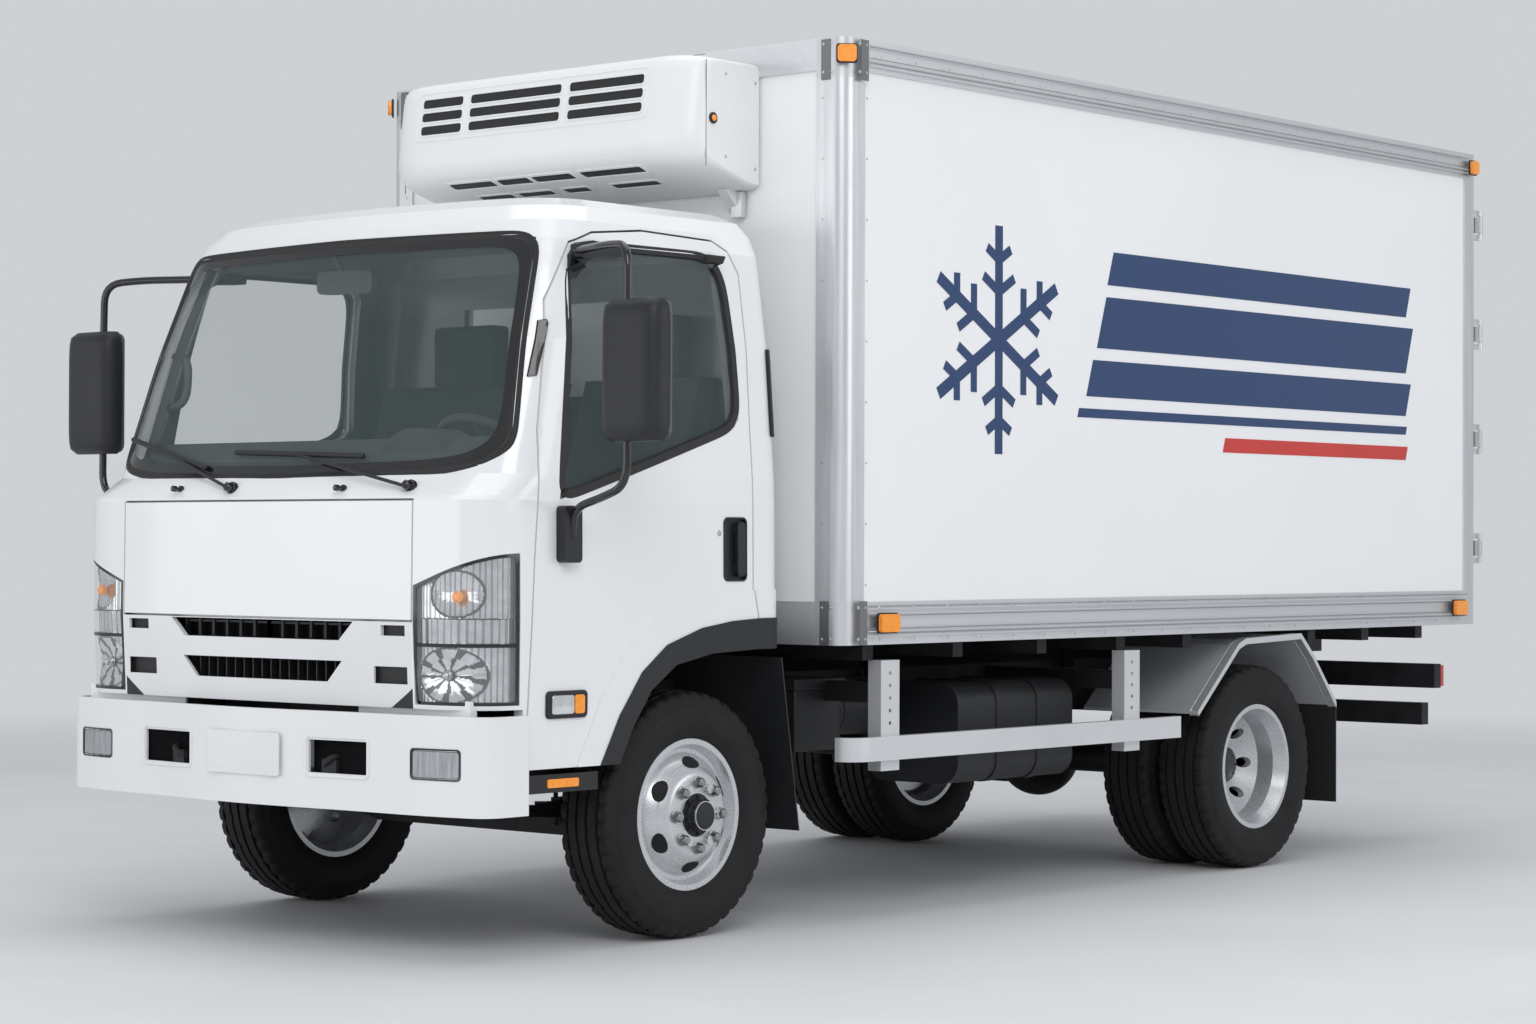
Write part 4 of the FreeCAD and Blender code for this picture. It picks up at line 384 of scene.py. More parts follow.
gloss = look_of("gloss_black", (0.012, 0.012, 0.013), 0.18, vary=0.1, bump=0.02, coat=0.3,
                slot="black_plastic")
rubber = look_of("tyre_rubber", (0.012, 0.012, 0.0125), 0.66, vary=0.22, spots=14, bump=0.35, grain=700,
                 wear=0.1, shine=0.28, slot="tyre_rubber")
# Painted shade: a matte near-black with almost no shine, for the sills under the box and for the sheets behind
# the bumper intakes and the upper grille slot.
painted_shade_black = look_of("painted_shade_black", (0.009, 0.009, 0.01), 0.8, vary=0.3, bump=0.2, shine=0.04,
                      slot="black_plastic")
seal_rubber = look_of("seal_rubber", (0.014, 0.014, 0.015), 0.55, vary=0.1, bump=0.1, slot="rubber_black")
rim_silver = look_of("wheel_silver", (0.62, 0.63, 0.65), 0.3, metal=0.65, vary=0.02, spots=20, bump=0.03,
                     coat=0.3, slot="silver_paint")
# One chrome in three tones: bright, half dark and dark. On the lamp bowls the darker two are painted
# reflections and the bright one painted highlights, laid in a pattern.
chrome, chrome_half_shade, chrome_shade = (
    look_of("reflector_" + name, colour, rough, metal, vary, spots=30, bump=0.01, slot="lamp_lens")
    for name, colour, rough, metal, vary in (("chrome", (0.74, 0.76, 0.78), 0.14, 0.9, 0.12),
                                             ("flute", (0.38, 0.4, 0.42), 0.22, 0.9, 0.15),
                                             ("dark_reflection", (0.1, 0.105, 0.11), 0.25, 0.8, 0.2)))
steel = look_of("bolt_steel", (0.55, 0.55, 0.56), 0.35, metal=0.9, vary=0.1, bump=0.05, slot="steel")
cab_glass = look_of("tinted_glass", (0.21, 0.285, 0.29), 0.03, vary=0.03, bump=0.0, alpha=0.12, wear=0.01)
dark_steel = look_of("nut_steel", (0.34, 0.34, 0.35), 0.28, metal=0.9, vary=0.1, bump=0.03, slot="steel")
lens_clear = look_of("clear_lens", (0.75, 0.77, 0.78), 0.04, vary=0.02, bump=0.0, alpha=0.16, wear=0.01,
                     coat=0.6, slot="lamp_lens")
# Amber glows a little wherever it is used; on the sight glass of the cooling unit, which is no lamp, the glow
# is painted light.
amber = look_of("amber_lens", (0.95, 0.3, 0.015), 0.18, glow=0.12, slot="lamp_lens", **lamp_grain)
red_lens = look_of("red_lens", (0.55, 0.02, 0.015), 0.18, glow=0.05, **lamp_grain)
mirror_glass = look_of("mirror_glass", (0.8, 0.82, 0.84), 0.02, metal=1.0, vary=0.01, bump=0.0, wear=0.01,
                       slot="tinted_glass")
cloth = look_of("seat_cloth", (0.04, 0.042, 0.045), 0.9, vary=0.12, spots=12, bump=0.02, grain=60, shine=0.1)
trim_grey = look_of("cab_trim_grey", (0.1, 0.105, 0.11), 0.6, bump=0.3, grain=900, slot="grey_plastic")
dash_dark = look_of("dash_plastic", (0.05, 0.054, 0.057), 0.75, vary=0.08, bump=0.02, grain=300)
navy = look_of("livery_navy", (0.01, 0.045, 0.15), 0.35, vary=0.03, bump=0.0, coat=0.2, slot="white_panel")
red_film = look_of("livery_red", (0.62, 0.035, 0.025), 0.35, vary=0.03, bump=0.0, coat=0.2, slot="white_panel")
grille_looks = two_looks("grille_white_and_ribs", 1, axle_y - 0.879, ((0.85, 0.86, 0.87), 0.25, 0.0),
                         ((0.015, 0.015, 0.016), 0.5, 0.0))
rear_edge_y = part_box("rear_frame")[0].y + 0.0715
door_looks = two_looks("rear_door_and_gear", 1, rear_edge_y, (paint_colour, 0.36, 0.0),
                       ((0.6, 0.61, 0.62), 0.38, 0.7))

# The nodes of each look, by how their names start; the others are chassis_black
node_looks = {
    cab_lined: "cab_shell door_left door_right",
    cab_white: "front_lid",
    panel_white: "box_sides box_front_wall",
    roof_white: "box_roof",
    unit_white: "cooling_unit_cover",
    bumper_white: "front_bumper",
    aluminium: "corner_posts rear_frame",
    rail_metal: "box_rails",
    cast_grey: "corner_castings",
    zinc: "box_floor",
    guard_looks: "side_guards",
    fender_looks: "rear_mudguards",
    plastic: "fuel_tank arch_flares cab_steps wipers front_mudguards mirror_ door_handle_",
    red_lens: "tail_lamps",
    rim_silver: "rim",
    rubber: "tyre",
    cab_glass: "cab_glass door_glass_",
    lens_clear: "headlamps",
    cloth: "seats",
    dash_dark: "dashboard steering_wheel",
    grille_looks: "grille_panel",
    door_looks: "rear_door_",
}
for name, node in nodes.items():
    starts = (look for look, names in node_looks.items() if name.startswith(tuple(names.split())))
    look = next(starts, chassis_black)
    for i in range(len(node.data.materials)):
        node.data.materials[i] = look.owner


# Outlines on a surface
def hull_of(name, flat, keep):
    points = [Vector(flat(v.co)) for v in nodes[name].data.vertices if keep(v.co)]
    loop = [points[i] for i in convex_hull_2d(points)]
    if sum(a.x * b.y - b.x * a.y for a, b in pairs(loop)) < 0:
        loop.reverse()
    clean = [loop[0]]
    for p in loop[1:]:
        if (p - clean[-1]).length > 0.004:
            clean.append(p)
    return clean


def evened(loop, count):
    step = sum((b - a).length for a, b in pairs(loop)) / count
    out = []
    travelled = target = 0
    for a, b in pairs(loop):
        length = (b - a).length
        while target <= travelled + length and len(out) < count:
            out.append(a.lerp(b, (target - travelled) / length if length else 0))
            target += step
        travelled += length
    return out


def softened(loop, rounds):
    count = len(loop)
    for _ in range(rounds):
        loop = [(loop[i - 1] + loop[i] * 2 + loop[(i + 1) % count]) / 4 for i in range(count)]
    return loop


def widened(loop, distance):
    count = len(loop)
    alongs = [(loop[(i + 1) % count] - loop[i - 1]).normalized() for i in range(count)]
    return [p + Vector((along.y, -along.x)) * distance for p, along in zip(loop, alongs)]


# (distance out from the edge of the glass, depth under the door's skin) across a window seal
seal_bands = ((0.013, 0.001), (0.009, -0.002), (-0.012, -0.002), (-0.016, 0.012))


def make_seals():
    for side, sign in sides.items():
        tree = surface("door_" + side)
        loop = hull_of("door_glass_" + side, lambda c: (c.y, c.z), lambda c: True)
        loop = softened(evened(loop, 120), 8)
        rings = []
        for wide, depth in seal_bands:
            ring = []
            for p, q in zip(widened(loop, seal_bands[0][0]), widened(loop, wide)):
                point = tree.ray_cast(Vector((sign * 3, p.x, p.y)), ACROSS * -sign)[0]
                x = point.x if point else sign * 0.85
                ring.append(Vector((x - sign * depth, q.x, q.y)))
            rings.append(ring)
        make(Form().loops(rings), "window_seal_" + side, seal_rubber, "door_" + side, 30)


def make_screen_seal():
    """A rubber rim round the windscreen and a black mask on the glass along it."""
    glass = surface("cab_glass")
    front_limit = axle_y - 0.3
    inset = 0.004
    flat = evened(hull_of("cab_glass", lambda c: (c.x, c.z), lambda c: c.y < front_limit), 300)
    edge = [hit_front(glass, p.x, p.y) for p in widened(flat, -inset)]
    edge = softened(evened([p for p in edge if p and p.y < front_limit], 260), 8)
    heart = sum(edge, Vector()) / len(edge)
    inner = [p + (heart - p).normalized() * 0.03 for p in edge]
    outs = [v.normalized() for v in softened([hit_front(glass, p.x, p.z, 1) for p in inner], 20)]
    away = []
    for i, p in enumerate(edge):
        side = (edge[(i + 2) % len(edge)] - edge[i - 2]).cross(outs[i]).normalized()
        away.append(side if side.dot(p - heart) > 0 else -side)
    away = [v.normalized() for v in softened(away, 6)]

    def band(side, up):
        return [p + a * (side + inset) + o * up for p, a, o in zip(edge, away, outs)]

    def on_glass(side, up, rounds):
        loop = softened(band(side, 0.001), rounds)
        return [(hit_front(glass, p.x, p.z) or p) + o * up for p, o in zip(loop, outs)]

    rim = Form().loops([band(0.014, 0.002), band(0.011, 0.0065), band(0.002, 0.007), band(-0.006, 0.002),
                        on_glass(-0.012, 0.0008, 4)])
    make(rim, "screen_seal", seal_rubber, "cab", 30)
    mask = Form().loops([on_glass(-0.01, 0.001, 4), on_glass(-0.022, 0.001, 16), on_glass(-0.034, 0.001, 40)])
    make(mask, "screen_mask", gloss, "cab", 30, slot="rubber_black")


make_seals()
make_screen_seal()


# Tyres: ribbed tread with cross cuts on the shoulders, smooth walls with rings
tread_steps = 176
wall_share = ((0.77, 0.594), (0.84, 0.606), (0.9, 0.64), (0.925, 0.652), (0.93, 0.668), (0.955, 0.676),
              (0.985, 0.74), (0.99, 0.752), (1.0, 0.79), (0.99, 0.845), (0.975, 0.872), (0.95, 0.88),
              (0.935, 0.92), (0.905, 0.948))
tread_share = ((0.87, 0.968, 0), (0.835, 0.978, 0), (0.8, 0.984, 0), (0.6, 0.992, 0), (0.59, 0.966, 1),
               (0.51, 0.966, 1), (0.5, 0.994, 0), (0.23, 0.998, 0), (0.22, 0.972, 1), (0.14, 0.972, 1),
               (0.13, 1.0, 0))


def tyre_form(centre):
    half = tyre_width / 2
    left = [(-a, r, 0) for a, r in wall_share] + [(-a, r, g) for a, r, g in tread_share]
    rings = []
    for a, r, groove in left + [(-a, r, g) for a, r, g in reversed(left)]:
        ring = []
        for k, turn in enumerate(turns(tread_steps)):
            share = r
            if groove == 0 and 0.59 < abs(a) < 0.92 and r > 0.94 and k % 4 == 0:
                share = r - 0.02
            if groove == 0 and abs(a) < 0.52 and k % 8 == (2 if a > 0 else 6):
                share = r - 0.01
            ring.append(around(centre, a * half, share * tyre_radius, turn))
        rings.append(ring)
    return Form().loops(rings).loops([rings[-1], rings[0]])


def make_tyres():
    for side in sides:
        front = "tyre_front_" + side
        piece = make(tyre_form(middle(front)), "tread_front_" + side, rubber, "wheel_front_" + side)
        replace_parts(piece, front)
        rear = "tyres_rear_" + side
        lo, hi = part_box(rear)
        centre = middle(rear)
        form = Form()
        for x in (lo.x + tyre_width / 2, hi.x - tyre_width / 2):
            one = tyre_form(Vector((x, centre.y, centre.z)))
            form.add(one.verts, one.faces)
        piece = make(form, "treads_rear_" + side, rubber, "wheel_rear_" + side)
        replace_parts(piece, rear)


make_tyres()

# Wheels: dark hub rings with bolts, and a pressed disc with hand holes and nuts in front; the hand holes are
# black patches on the disc, painted shade for the dark seen through them
rear_ring_x = 0.752
rear_hub_x = 0.742


def make_hubs():
    for place, rim, out in (("front", "rim_front_left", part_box("rim_front_left")[1].x - 0.034),
                            ("rear", "rims_rear_left", rear_ring_x)):
        start = middle(rim)
        start.x = out
        form = Form().turned([(0.001, 0.063), (0.003, 0.061), (0.003, 0.047), (0.012, 0.045), (0.014, 0.0435),
                              (0.03, 0.043), (0.036, 0.038), (0.038, 0.028), (0.038, 0.002)], start, ACROSS, 40)
        for turn in turns(8):
            bolt = around(start, 0.003, 0.054, turn)
            form.turned([(0, 0.005), (0.007, 0.005), (0.009, 0.004)], bolt, ACROSS, 6)
        make_pair(form, "hub_ring_" + place, plastic, "wheel_" + place, 30)


make_hubs()

patch_shares = (1, 0.75, 0.5, 0.25, 0.02)
# (distance out from the wheel's middle, radius) of the pressed disc of a front wheel
disc_profile = ((0.06, 0.19), (0.057, 0.184), (0.06, 0.178), (0.066, 0.173), (0.078, 0.166), (0.09, 0.155),
                (0.102, 0.141), (0.112, 0.128), (0.1165, 0.121), (0.1185, 0.112), (0.1188, 0.064))


def disc_out(radius):
    for (a, r), (b, q) in zip(disc_profile, disc_profile[1:]):
        if q <= radius <= r:
            return a + (b - a) * (r - radius) / (r - q)
    return disc_profile[-1][0]


def make_wheel_discs():
    centre = middle("tyre_front_left")
    disc = Form().turned(disc_profile, centre, ACROSS, 72)
    make_pair(disc, "wheel_disc", rim_silver, "wheel_front")
    # Black patches on the disc where its hand holes are: painted shade for the dark seen through them.
    holes = Form()
    for turn in turns(6):
        loops = []
        for share in patch_shares:
            ring = []
            for t in turns(24):
                radius = 0.151 + 0.0165 * share * sin(t)
                here = turn + pi / 6 + 0.033 * share * cos(t) / radius
                ring.append(around(centre, disc_out(radius) + 0.0012, radius, here))
            loops.append(ring)
        holes.loops(loops)
        holes.closed_by(loops[-1])
    make_pair(holes, "hand_hole_shades", rubber, "wheel_front", 30, slot="black_plastic")
    nuts = Form()
    for turn in turns(8):
        nuts.turned([(0, 0.0185), (0.004, 0.0185), (0.005, 0.0155), (0.02, 0.0145), (0.027, 0.01)],
                    around(centre, 0.118, 0.094, turn), ACROSS, 12)
    make_pair(nuts, "wheel_nuts", dark_steel, "wheel_front", 30)


make_wheel_discs()


# Skins: points on the frame's outside, out is how far a point stands in front of it
class Skin:
    def __init__(self, tree, facing):
        self.tree = tree
        self.facing = facing
        self.last = None

    def point(self, a, b, out=0.0):
        a, b = a + 0.00011, b + 0.00013  # off the mesh's edges
        start, inward = {"side": ((3, a + axle_y, b), -ACROSS), "below": ((a, b + axle_y, 0), UP),
                         "front": ((a, -5, b), BACK)}[self.facing]
        start = Vector(start)
        found = self.tree.ray_cast(start, inward)[0]
        depth = (found - start).length if found else self.last
        self.last = depth
        return start + inward * (depth - out)

    def patch(self, outline, low, high, form=None):
        form = form or Form()
        outline = spaced(outline)
        ca = sum(a for a, b in outline) / len(outline)
        cb = sum(b for a, b in outline) / len(outline)
        loops = [[self.point(a, b, low) for a, b in outline]]
        for share in patch_shares:
            loops.append([self.point(ca + (a - ca) * share, cb + (b - cb) * share, high) for a, b in outline])
        form.loops(loops)
        return form.closed_by(loops[-1])

    def ring(self, outer, inner, low, high, form=None):
        form = form or Form()
        outer, inner = spaced(outer, 12), spaced(inner, 12, outer)
        return form.loops([[self.point(a, b, out) for a, b in loop]
                           for loop, out in ((outer, low), (outer, high), (inner, high), (inner, low))])


def spaced(outline, per_side=6, like=None):
    """The outline with per_side points on each of its longer sides, or of the longer sides of like."""
    like = like or outline
    lengths = [dist(p, q) for p, q in pairs(like)]
    out = []
    for (p, q), length in zip(pairs(outline), lengths):
        count = per_side if length > max(lengths) * 0.12 else 1
        out += [(p[0] + (q[0] - p[0]) * k / count, p[1] + (q[1] - p[1]) * k / count) for k in range(count)]
    return out


def round_rect(a0, a1, b0, b1, radius, steps=5):
    outline = []
    for ca, cb, start in ((a1 - radius, b1 - radius, 0), (a0 + radius, b1 - radius, 1),
                          (a0 + radius, b0 + radius, 2), (a1 - radius, b0 + radius, 3)):
        for k in range(steps + 1):
            turn = (start + k / steps) * pi / 2
            outline.append((ca + radius * cos(turn), cb + radius * sin(turn)))
    return outline


cab_side = Skin(surface("door_left", "cab_shell"), "side")
cab_front = Skin(surface("cab_shell", "front_lid", "grille_panel"), "front")
bumper_front = Skin(surface("front_bumper"), "front")


# Headlamps: clear lens, black frame and a chrome bowl for each lamp; the bowl's highlights and reflections are
# painted on it as bright, half-dark and dark copies of one chrome
class LampSkin:
    def __init__(self):
        self.tree = surface("headlamps")
        self.heart = at(0.5, -0.62, 0)
        lo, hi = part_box("headlamps")
        self.middle = lo.z + 0.4 * (hi.z - lo.z)
        seen = [k for k in range(600) if self.cast(radians(k / 5), self.middle)]
        self.first = radians(seen[0] / 5 + 0.1)
        self.last = radians(seen[-1] / 5 - 0.1)
        self.ends = {}

    def cast(self, angle, z):
        out = Vector((sin(angle), -cos(angle), 0))
        start = self.heart + out * 3
        start.z = z
        return self.tree.ray_cast(start, -out, 2.95)[0]

    def angle(self, u):
        return self.first + (self.last - self.first) * min(max(u, 0), 1)

    def end(self, u, way):
        """The lamp's lower (way -1) or upper (way 1) edge at u."""
        key = (round(u, 4), way)
        if key not in self.ends:
            inside, outside = self.middle, self.middle + way * 0.45
            for _ in range(14):
                half = (inside + outside) / 2
                if self.cast(self.angle(u), half):
                    inside = half
                else:
                    outside = half
            self.ends[key] = inside
        return self.ends[key]

    def height(self, u, share):
        return self.end(u, -1) + (self.end(u, 1) - self.end(u, -1)) * share

    def point(self, u, z, depth):
        angle = self.angle(u)
        z = min(max(z, self.end(u, -1)), self.end(u, 1))
        found = self.cast(angle, z) or self.cast(angle, self.middle)
        out = Vector((sin(angle), -cos(angle), 0))
        found.z = z
        return found - out * depth

    def rim(self, inset_u, inset_z, steps=16):
        """Round the lamp: bottom, outer end, top and inner end, as (u, z)."""
        across = [inset_u + (1 - 2 * inset_u) * k / steps for k in range(steps + 1)]
        bottom = [(u, self.end(u, -1) + inset_z) for u in across]
        top = [(u, self.end(u, 1) - inset_z) for u in reversed(across)]
        ends = ((1 - inset_u, bottom[-1][1], top[0][1]), (inset_u, top[-1][1], bottom[0][1]))
        outer, inner = ([(u, start + (stop - start) * k / steps) for k in range(1, steps)]
                        for u, start, stop in ends)
        return bottom + outer + top + inner


lamp_split_z = 0.859
lamp_strip_z = 0.93


def bowl_place(u, z):
    """Where (u, z) is in its lamp's bowl: distance from the middle, 1 at the edge, and angle."""
    if z < lamp_split_z:
        across, up = (u - 0.4) / 0.35, (z - 0.777) / 0.077
    else:
        across, up = (u - 0.46) / 0.25, (z - 0.998) / 0.064
    return hypot(across, up), atan2(up, across)


def lamp_depth(u, z):
    if lamp_split_z <= z < lamp_strip_z:
        return 0.016 + 0.0025 * abs(sin(u * 34))
    r, turn = bowl_place(u, z)
    if r > 1:
        return 0.012 + 0.0012 * abs(sin(u * 95))
    return 0.013 + 0.024 * (1 - r * r) + 0.0012 * abs(sin(9 * turn)) * r


def painted_reflection_tone(u, z):
    """Which of the three reflector looks a cell has: 0 bright, 1 half dark (every third flute), 2 dark; one
    chrome in three tones, laid in this pattern as painted highlights and painted reflections on the bowls.
    """
    r, turn = bowl_place(u, z)
    if z >= lamp_strip_z:
        return 2 if 0.93 < r < 1.03 else int(int(u * 60) % 3 == 0)
    if z >= lamp_split_z:
        return int(int(u * 44) % 3 == 0)
    if r > 1:
        return int(int(u * 56) % 3 == 0)
    sector = int((turn / tau + 0.5) * 26 + (0.5 if r > 0.62 else 0))
    return 2 if r < 0.2 or 0.93 < r or sector % 3 == 0 else 0


def make_headlamps():
    skin = LampSkin()
    count_u, count_z = 112, 120
    spots = []
    for j in range(count_z + 1):
        for i in range(count_u + 1):
            u = i / count_u
            z = skin.height(u, j / count_z)
            spots.append(skin.point(u, z, lamp_depth(u, z)))
    cells = [[], [], []]
    for j in range(count_z):
        for i in range(count_u):
            first = j * (count_u + 1) + i
            u = (i + 0.5) / count_u
            cells[painted_reflection_tone(u, skin.height(u, (j + 0.5) / count_z))].append(
                (first, first + 1, first + count_u + 2, first + count_u + 1))
    # The bowl's cells go to three copies of one chrome: painted highlights, half-dark and dark painted
    # reflections.
    shades = []
    for faces, name, look in zip(cells, ("lamp_reflector_highlights", "lamp_half_dark_reflections", "lamp_dark_reflections"),
                                 (chrome, chrome_half_shade, chrome_shade)):
        used = sorted({i for face in faces for i in face})
        place = {old: new for new, old in enumerate(used)}
        form = Form().add([spots[i] for i in used], [tuple(place[i] for i in face) for face in faces])
        shades.append(make(form.both(), name, look, "cab", 50))
    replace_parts(shades[0], "headlamps")
    lens = Form().loops([[skin.point(i / 28, skin.height(i / 28, j / 20), 0.0005) for i in range(29)]
                         for j in range(21)], closed=False)
    make(lens.both(), "lamp_lenses", lens_clear, "cab", 50)
    outer, inner = skin.rim(0, 0), skin.rim(0.035, 0.009)
    form = Form().loops([[skin.point(u, z, depth) for u, z in loop] for loop, depth in
                         ((outer, 0.02), (outer, -0.001), (inner, -0.002), (inner, 0.014))])
    for z, start, stop, rows in (
            (lamp_split_z, 0, 25, ((-0.006, 0.016), (-0.005, -0.001), (0.005, -0.001), (0.006, 0.016))),
            (lamp_strip_z, 2, 21, ((-0.002, 0.016), (-0.0015, 0.003), (0.0015, 0.003), (0.002, 0.016)))):
        form.loops([[skin.point(k / 24, z + dz, depth) for k in range(start, stop)] for dz, depth in rows],
                   closed=False)
    make(form.both(), "lamp_frames", gloss, "cab")
    low_bulb = Form().turned([(0, 0.014), (0.01, 0.013), (0.012, 0.01), (0.022, 0.01), (0.027, 0.004)],
                             skin.point(0.4, 0.777, 0.034), (0.25, -1, 0), 20)
    make(low_bulb.both(), "lamp_bulbs", steel, "cab", slot="lamp_lens")
    high_bulb = Form().turned([(0, 0.01), (0.008, 0.016), (0.018, 0.016), (0.026, 0.008)],
                              skin.point(0.5, 0.99, 0.034), (0.35, -1, 0), 20)
    make(high_bulb.both(), "indicator_bulbs", amber, "cab")


make_headlamps()


# Cab side: locks, repeaters, step markers, vents
def make_cab_side():
    make_pair(Form().dome(cab_side.point(0.085, 1.165), ACROSS, 0.009, 0.003), "door_lock", steel, "door")
    for name, look, edge, low, high, *outline in (
            ("housing", plastic, 0.003, 0.0, 0.008, -0.628, -0.468, 0.656, 0.732, 0.014),
            ("clear", chrome, 0.002, 0.008, 0.013, -0.612, -0.526, 0.668, 0.72, 0.008),
            ("amber", amber, 0.002, 0.008, 0.013, -0.522, -0.484, 0.668, 0.72, 0.008)):
        make_pair(cab_side.patch(round_rect(*outline), low, high), "repeater_" + name, look, "door", bevel=edge)
    step = Skin(surface("cab_steps"), "side")
    marker = step.patch(round_rect(-0.622, -0.5, 0.468, 0.492, 0.005), 0.0, 0.004)
    make(marker.both(), "step_markers", amber, "cab", bevel=0.001)
    outline = [(-0.643, 1.59), (-0.622, 1.594), (-0.566, 1.742), (-0.572, 1.752), (-0.588, 1.748)]
    make(cab_side.patch(outline, 0.0, 0.006).both(), "pillar_vents", gloss, "cab", bevel=0.002)
    rear = cab_side.patch(round_rect(0.328, 0.352, 1.45, 1.71, 0.009), 0.0, 0.012)
    make(rear.both(), "rear_vents", plastic, "cab", bevel=0.003)


make_cab_side()


# Mirrors: rounded heads on bent tubes, with brackets on the doors
mirror_x = 1.154
mirror_z = 1.6
arm_radius = 0.0115


def on_mirror(half_x, half_z, radius):
    return round_rect(mirror_x - half_x, mirror_x + half_x, mirror_z - half_z, mirror_z + half_z, radius)


def head_section(scale_x, scale_y, z):
    ring = []
    for turn in turns(40):
        c, s = cos(turn), sin(turn)
        x = 0.106 * copysign(abs(c) ** 0.45, c) * scale_x
        y = (0.058 if s < 0 else 0.02) * copysign(abs(s) ** (0.8 if s < 0 else 0.25), s) * scale_y
        ring.append(at(mirror_x + x, -0.568 + y, z))
    return ring


def mirror_head():
    rings = []
    for k in range(25):
        t = k / 12 - 1
        fall = (1 - abs(t) ** 7) ** (1 / 3) if abs(t) < 1 else 0
        rings.append(head_section(0.86 + 0.14 * fall, 0.45 + 0.55 * fall, mirror_z + 0.191 * t))
    return Form().loops(rings, caps=True)


def mirror_brackets():
    form = Form()
    top = [(-0.48, 1.872), (-0.452, 1.872), (-0.425, 1.915), (-0.372, 1.938), (-0.262, 1.944), (-0.256, 1.972),
           (-0.38, 1.982), (-0.44, 1.972), (-0.47, 1.935)]
    cab_side.patch(top, -0.002, 0.014, form)
    cab_side.patch(round_rect(-0.462, -0.425, 1.925, 1.968, 0.008), 0.01, 0.045, form)
    cab_side.patch(round_rect(-0.588, -0.52, 1.082, 1.238, 0.014), -0.002, 0.034, form)
    return form


def make_mirrors():
    arms = Form()
    arms.pipe(arm_radius, cab_side.point(-0.445, 1.948, 0.0), (1.0, -0.52, 1.95), (1.118, -0.572, 1.94),
              (1.12, -0.574, 1.78))
    arms.pipe(arm_radius, (1.12, -0.574, 1.42), (1.12, -0.575, 1.292), (1.02, -0.568, 1.258),
              (0.905, -0.556, 1.232), (0.898, -0.554, 1.15))
    outline, wide = on_mirror(0.09, 0.165, 0.02), on_mirror(0.104, 0.186, 0.026)
    glass = Form().prism([at(x, -0.5485, z) for x, z in outline], (0, 0.003, 0))
    rim = Form().loops([[at(x, y, z) for x, z in loop] for loop, y in
                        ((wide, -0.56), (wide, -0.5465), (outline, -0.5465), (outline, -0.56))])
    for head, side in zip(make_pair(mirror_head(), "mirror_head", plastic, "door", 50), sides):
        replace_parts(head, "mirror_" + side)
    make_pair(arms, "mirror_arms", gloss, "door", 60)
    for form, side in zip((mirror_brackets(), mirror_brackets().mirrored()), sides):
        make(form, "mirror_brackets_" + side, plastic, "door_" + side, 30, bevel=0.004)
    make_pair(glass, "mirror_glass", mirror_glass, "door", 30)
    make_pair(rim, "mirror_rim", trim_grey, "door", 30)


make_mirrors()


# Front: dark mesh in the side slots, bumper lamps and openings, blank plate
def make_front_gear():
    shell_front = Skin(surface("cab_shell"), "front")
    mesh_form = Form()
    for outline in (round_rect(0.49, 0.599, 0.87, 0.911, 0.004), round_rect(0.458, 0.604, 0.742, 0.8, 0.004)):
        shell_front.patch(outline, 0.0002, 0.0012, mesh_form)
    make(mesh_form.both(), "grille_side_mesh", dark_mesh, "cab", 0)
    bezel = bumper_front.ring(round_rect(0.638, 0.808, 0.496, 0.582, 0.012),
                              round_rect(0.646, 0.8, 0.504, 0.574, 0.008), -0.006, 0.0015)
    make(bezel.both(), "fog_bezels", gloss)
    glass = bumper_front.patch(round_rect(0.645, 0.801, 0.503, 0.575, 0.008), -0.001, 0.001)
    make(glass.both(), "fog_lenses", fluted_lens)
    plate_y = bumper_front.point(0, 0.54).y - axle_y - 0.0015
    outline = round_rect(-0.152, 0.152, 0.484, 0.602, 0.008)
    plate = Form().prism([at(x, plate_y, z) for x, z in outline], (0, -0.0035, 0))
    make(plate, "plate_blank", guard_white, bevel=0.001)
    pads = Form()
    for x in (0.06, 0.13):
        pads.box(x - 0.012, plate_y - 0.0005, 0.525, x + 0.012, plate_y + 0.012, 0.561)
    make(pads.both(), "plate_pads", plastic, smooth=0)
    hooks = Form().pipe(0.009, (0.302, -0.88, 0.52), (0.302, -0.925, 0.52), (0.342, -0.925, 0.545),
                        (0.342, -0.88, 0.545))
    make(hooks.both(), "tow_hooks", chassis_black, smooth=50)
    # A matte near-black sheet behind the bumper intakes: painted shade inside the openings.
    lining = Form().box(0.245, -0.905, 0.485, 0.482, -0.903, 0.605)
    make(lining.both(), "intake_shade_sheet", painted_shade_black, smooth=0)
    frame = bumper_front.ring(round_rect(0.241, 0.485, 0.487, 0.605, 0.02),
                              round_rect(0.25, 0.476, 0.496, 0.596, 0.01), -0.001, 0.004)
    make(frame.both(), "intake_frames", bumper_white, bevel=0.001)
    bars = Form()
    for k in range(7):
        bars.box(0.06 * k - 0.005, -0.862, 0.866, 0.06 * k + 0.005, -0.848, 0.916)
    bars.box(-0.002, -0.858, 0.905, 0.372, -0.848, 0.911)
    make(bars.both(), "upper_grille_bars", plastic, "cab", 0)
    # A matte near-black sheet behind the upper grille slot: painted shade inside the opening.
    back = Form().box(-0.38, -0.838, 0.858, 0.38, -0.834, 0.928)
    make(back, "upper_grille_shade_sheet", painted_shade_black, "cab", 0)


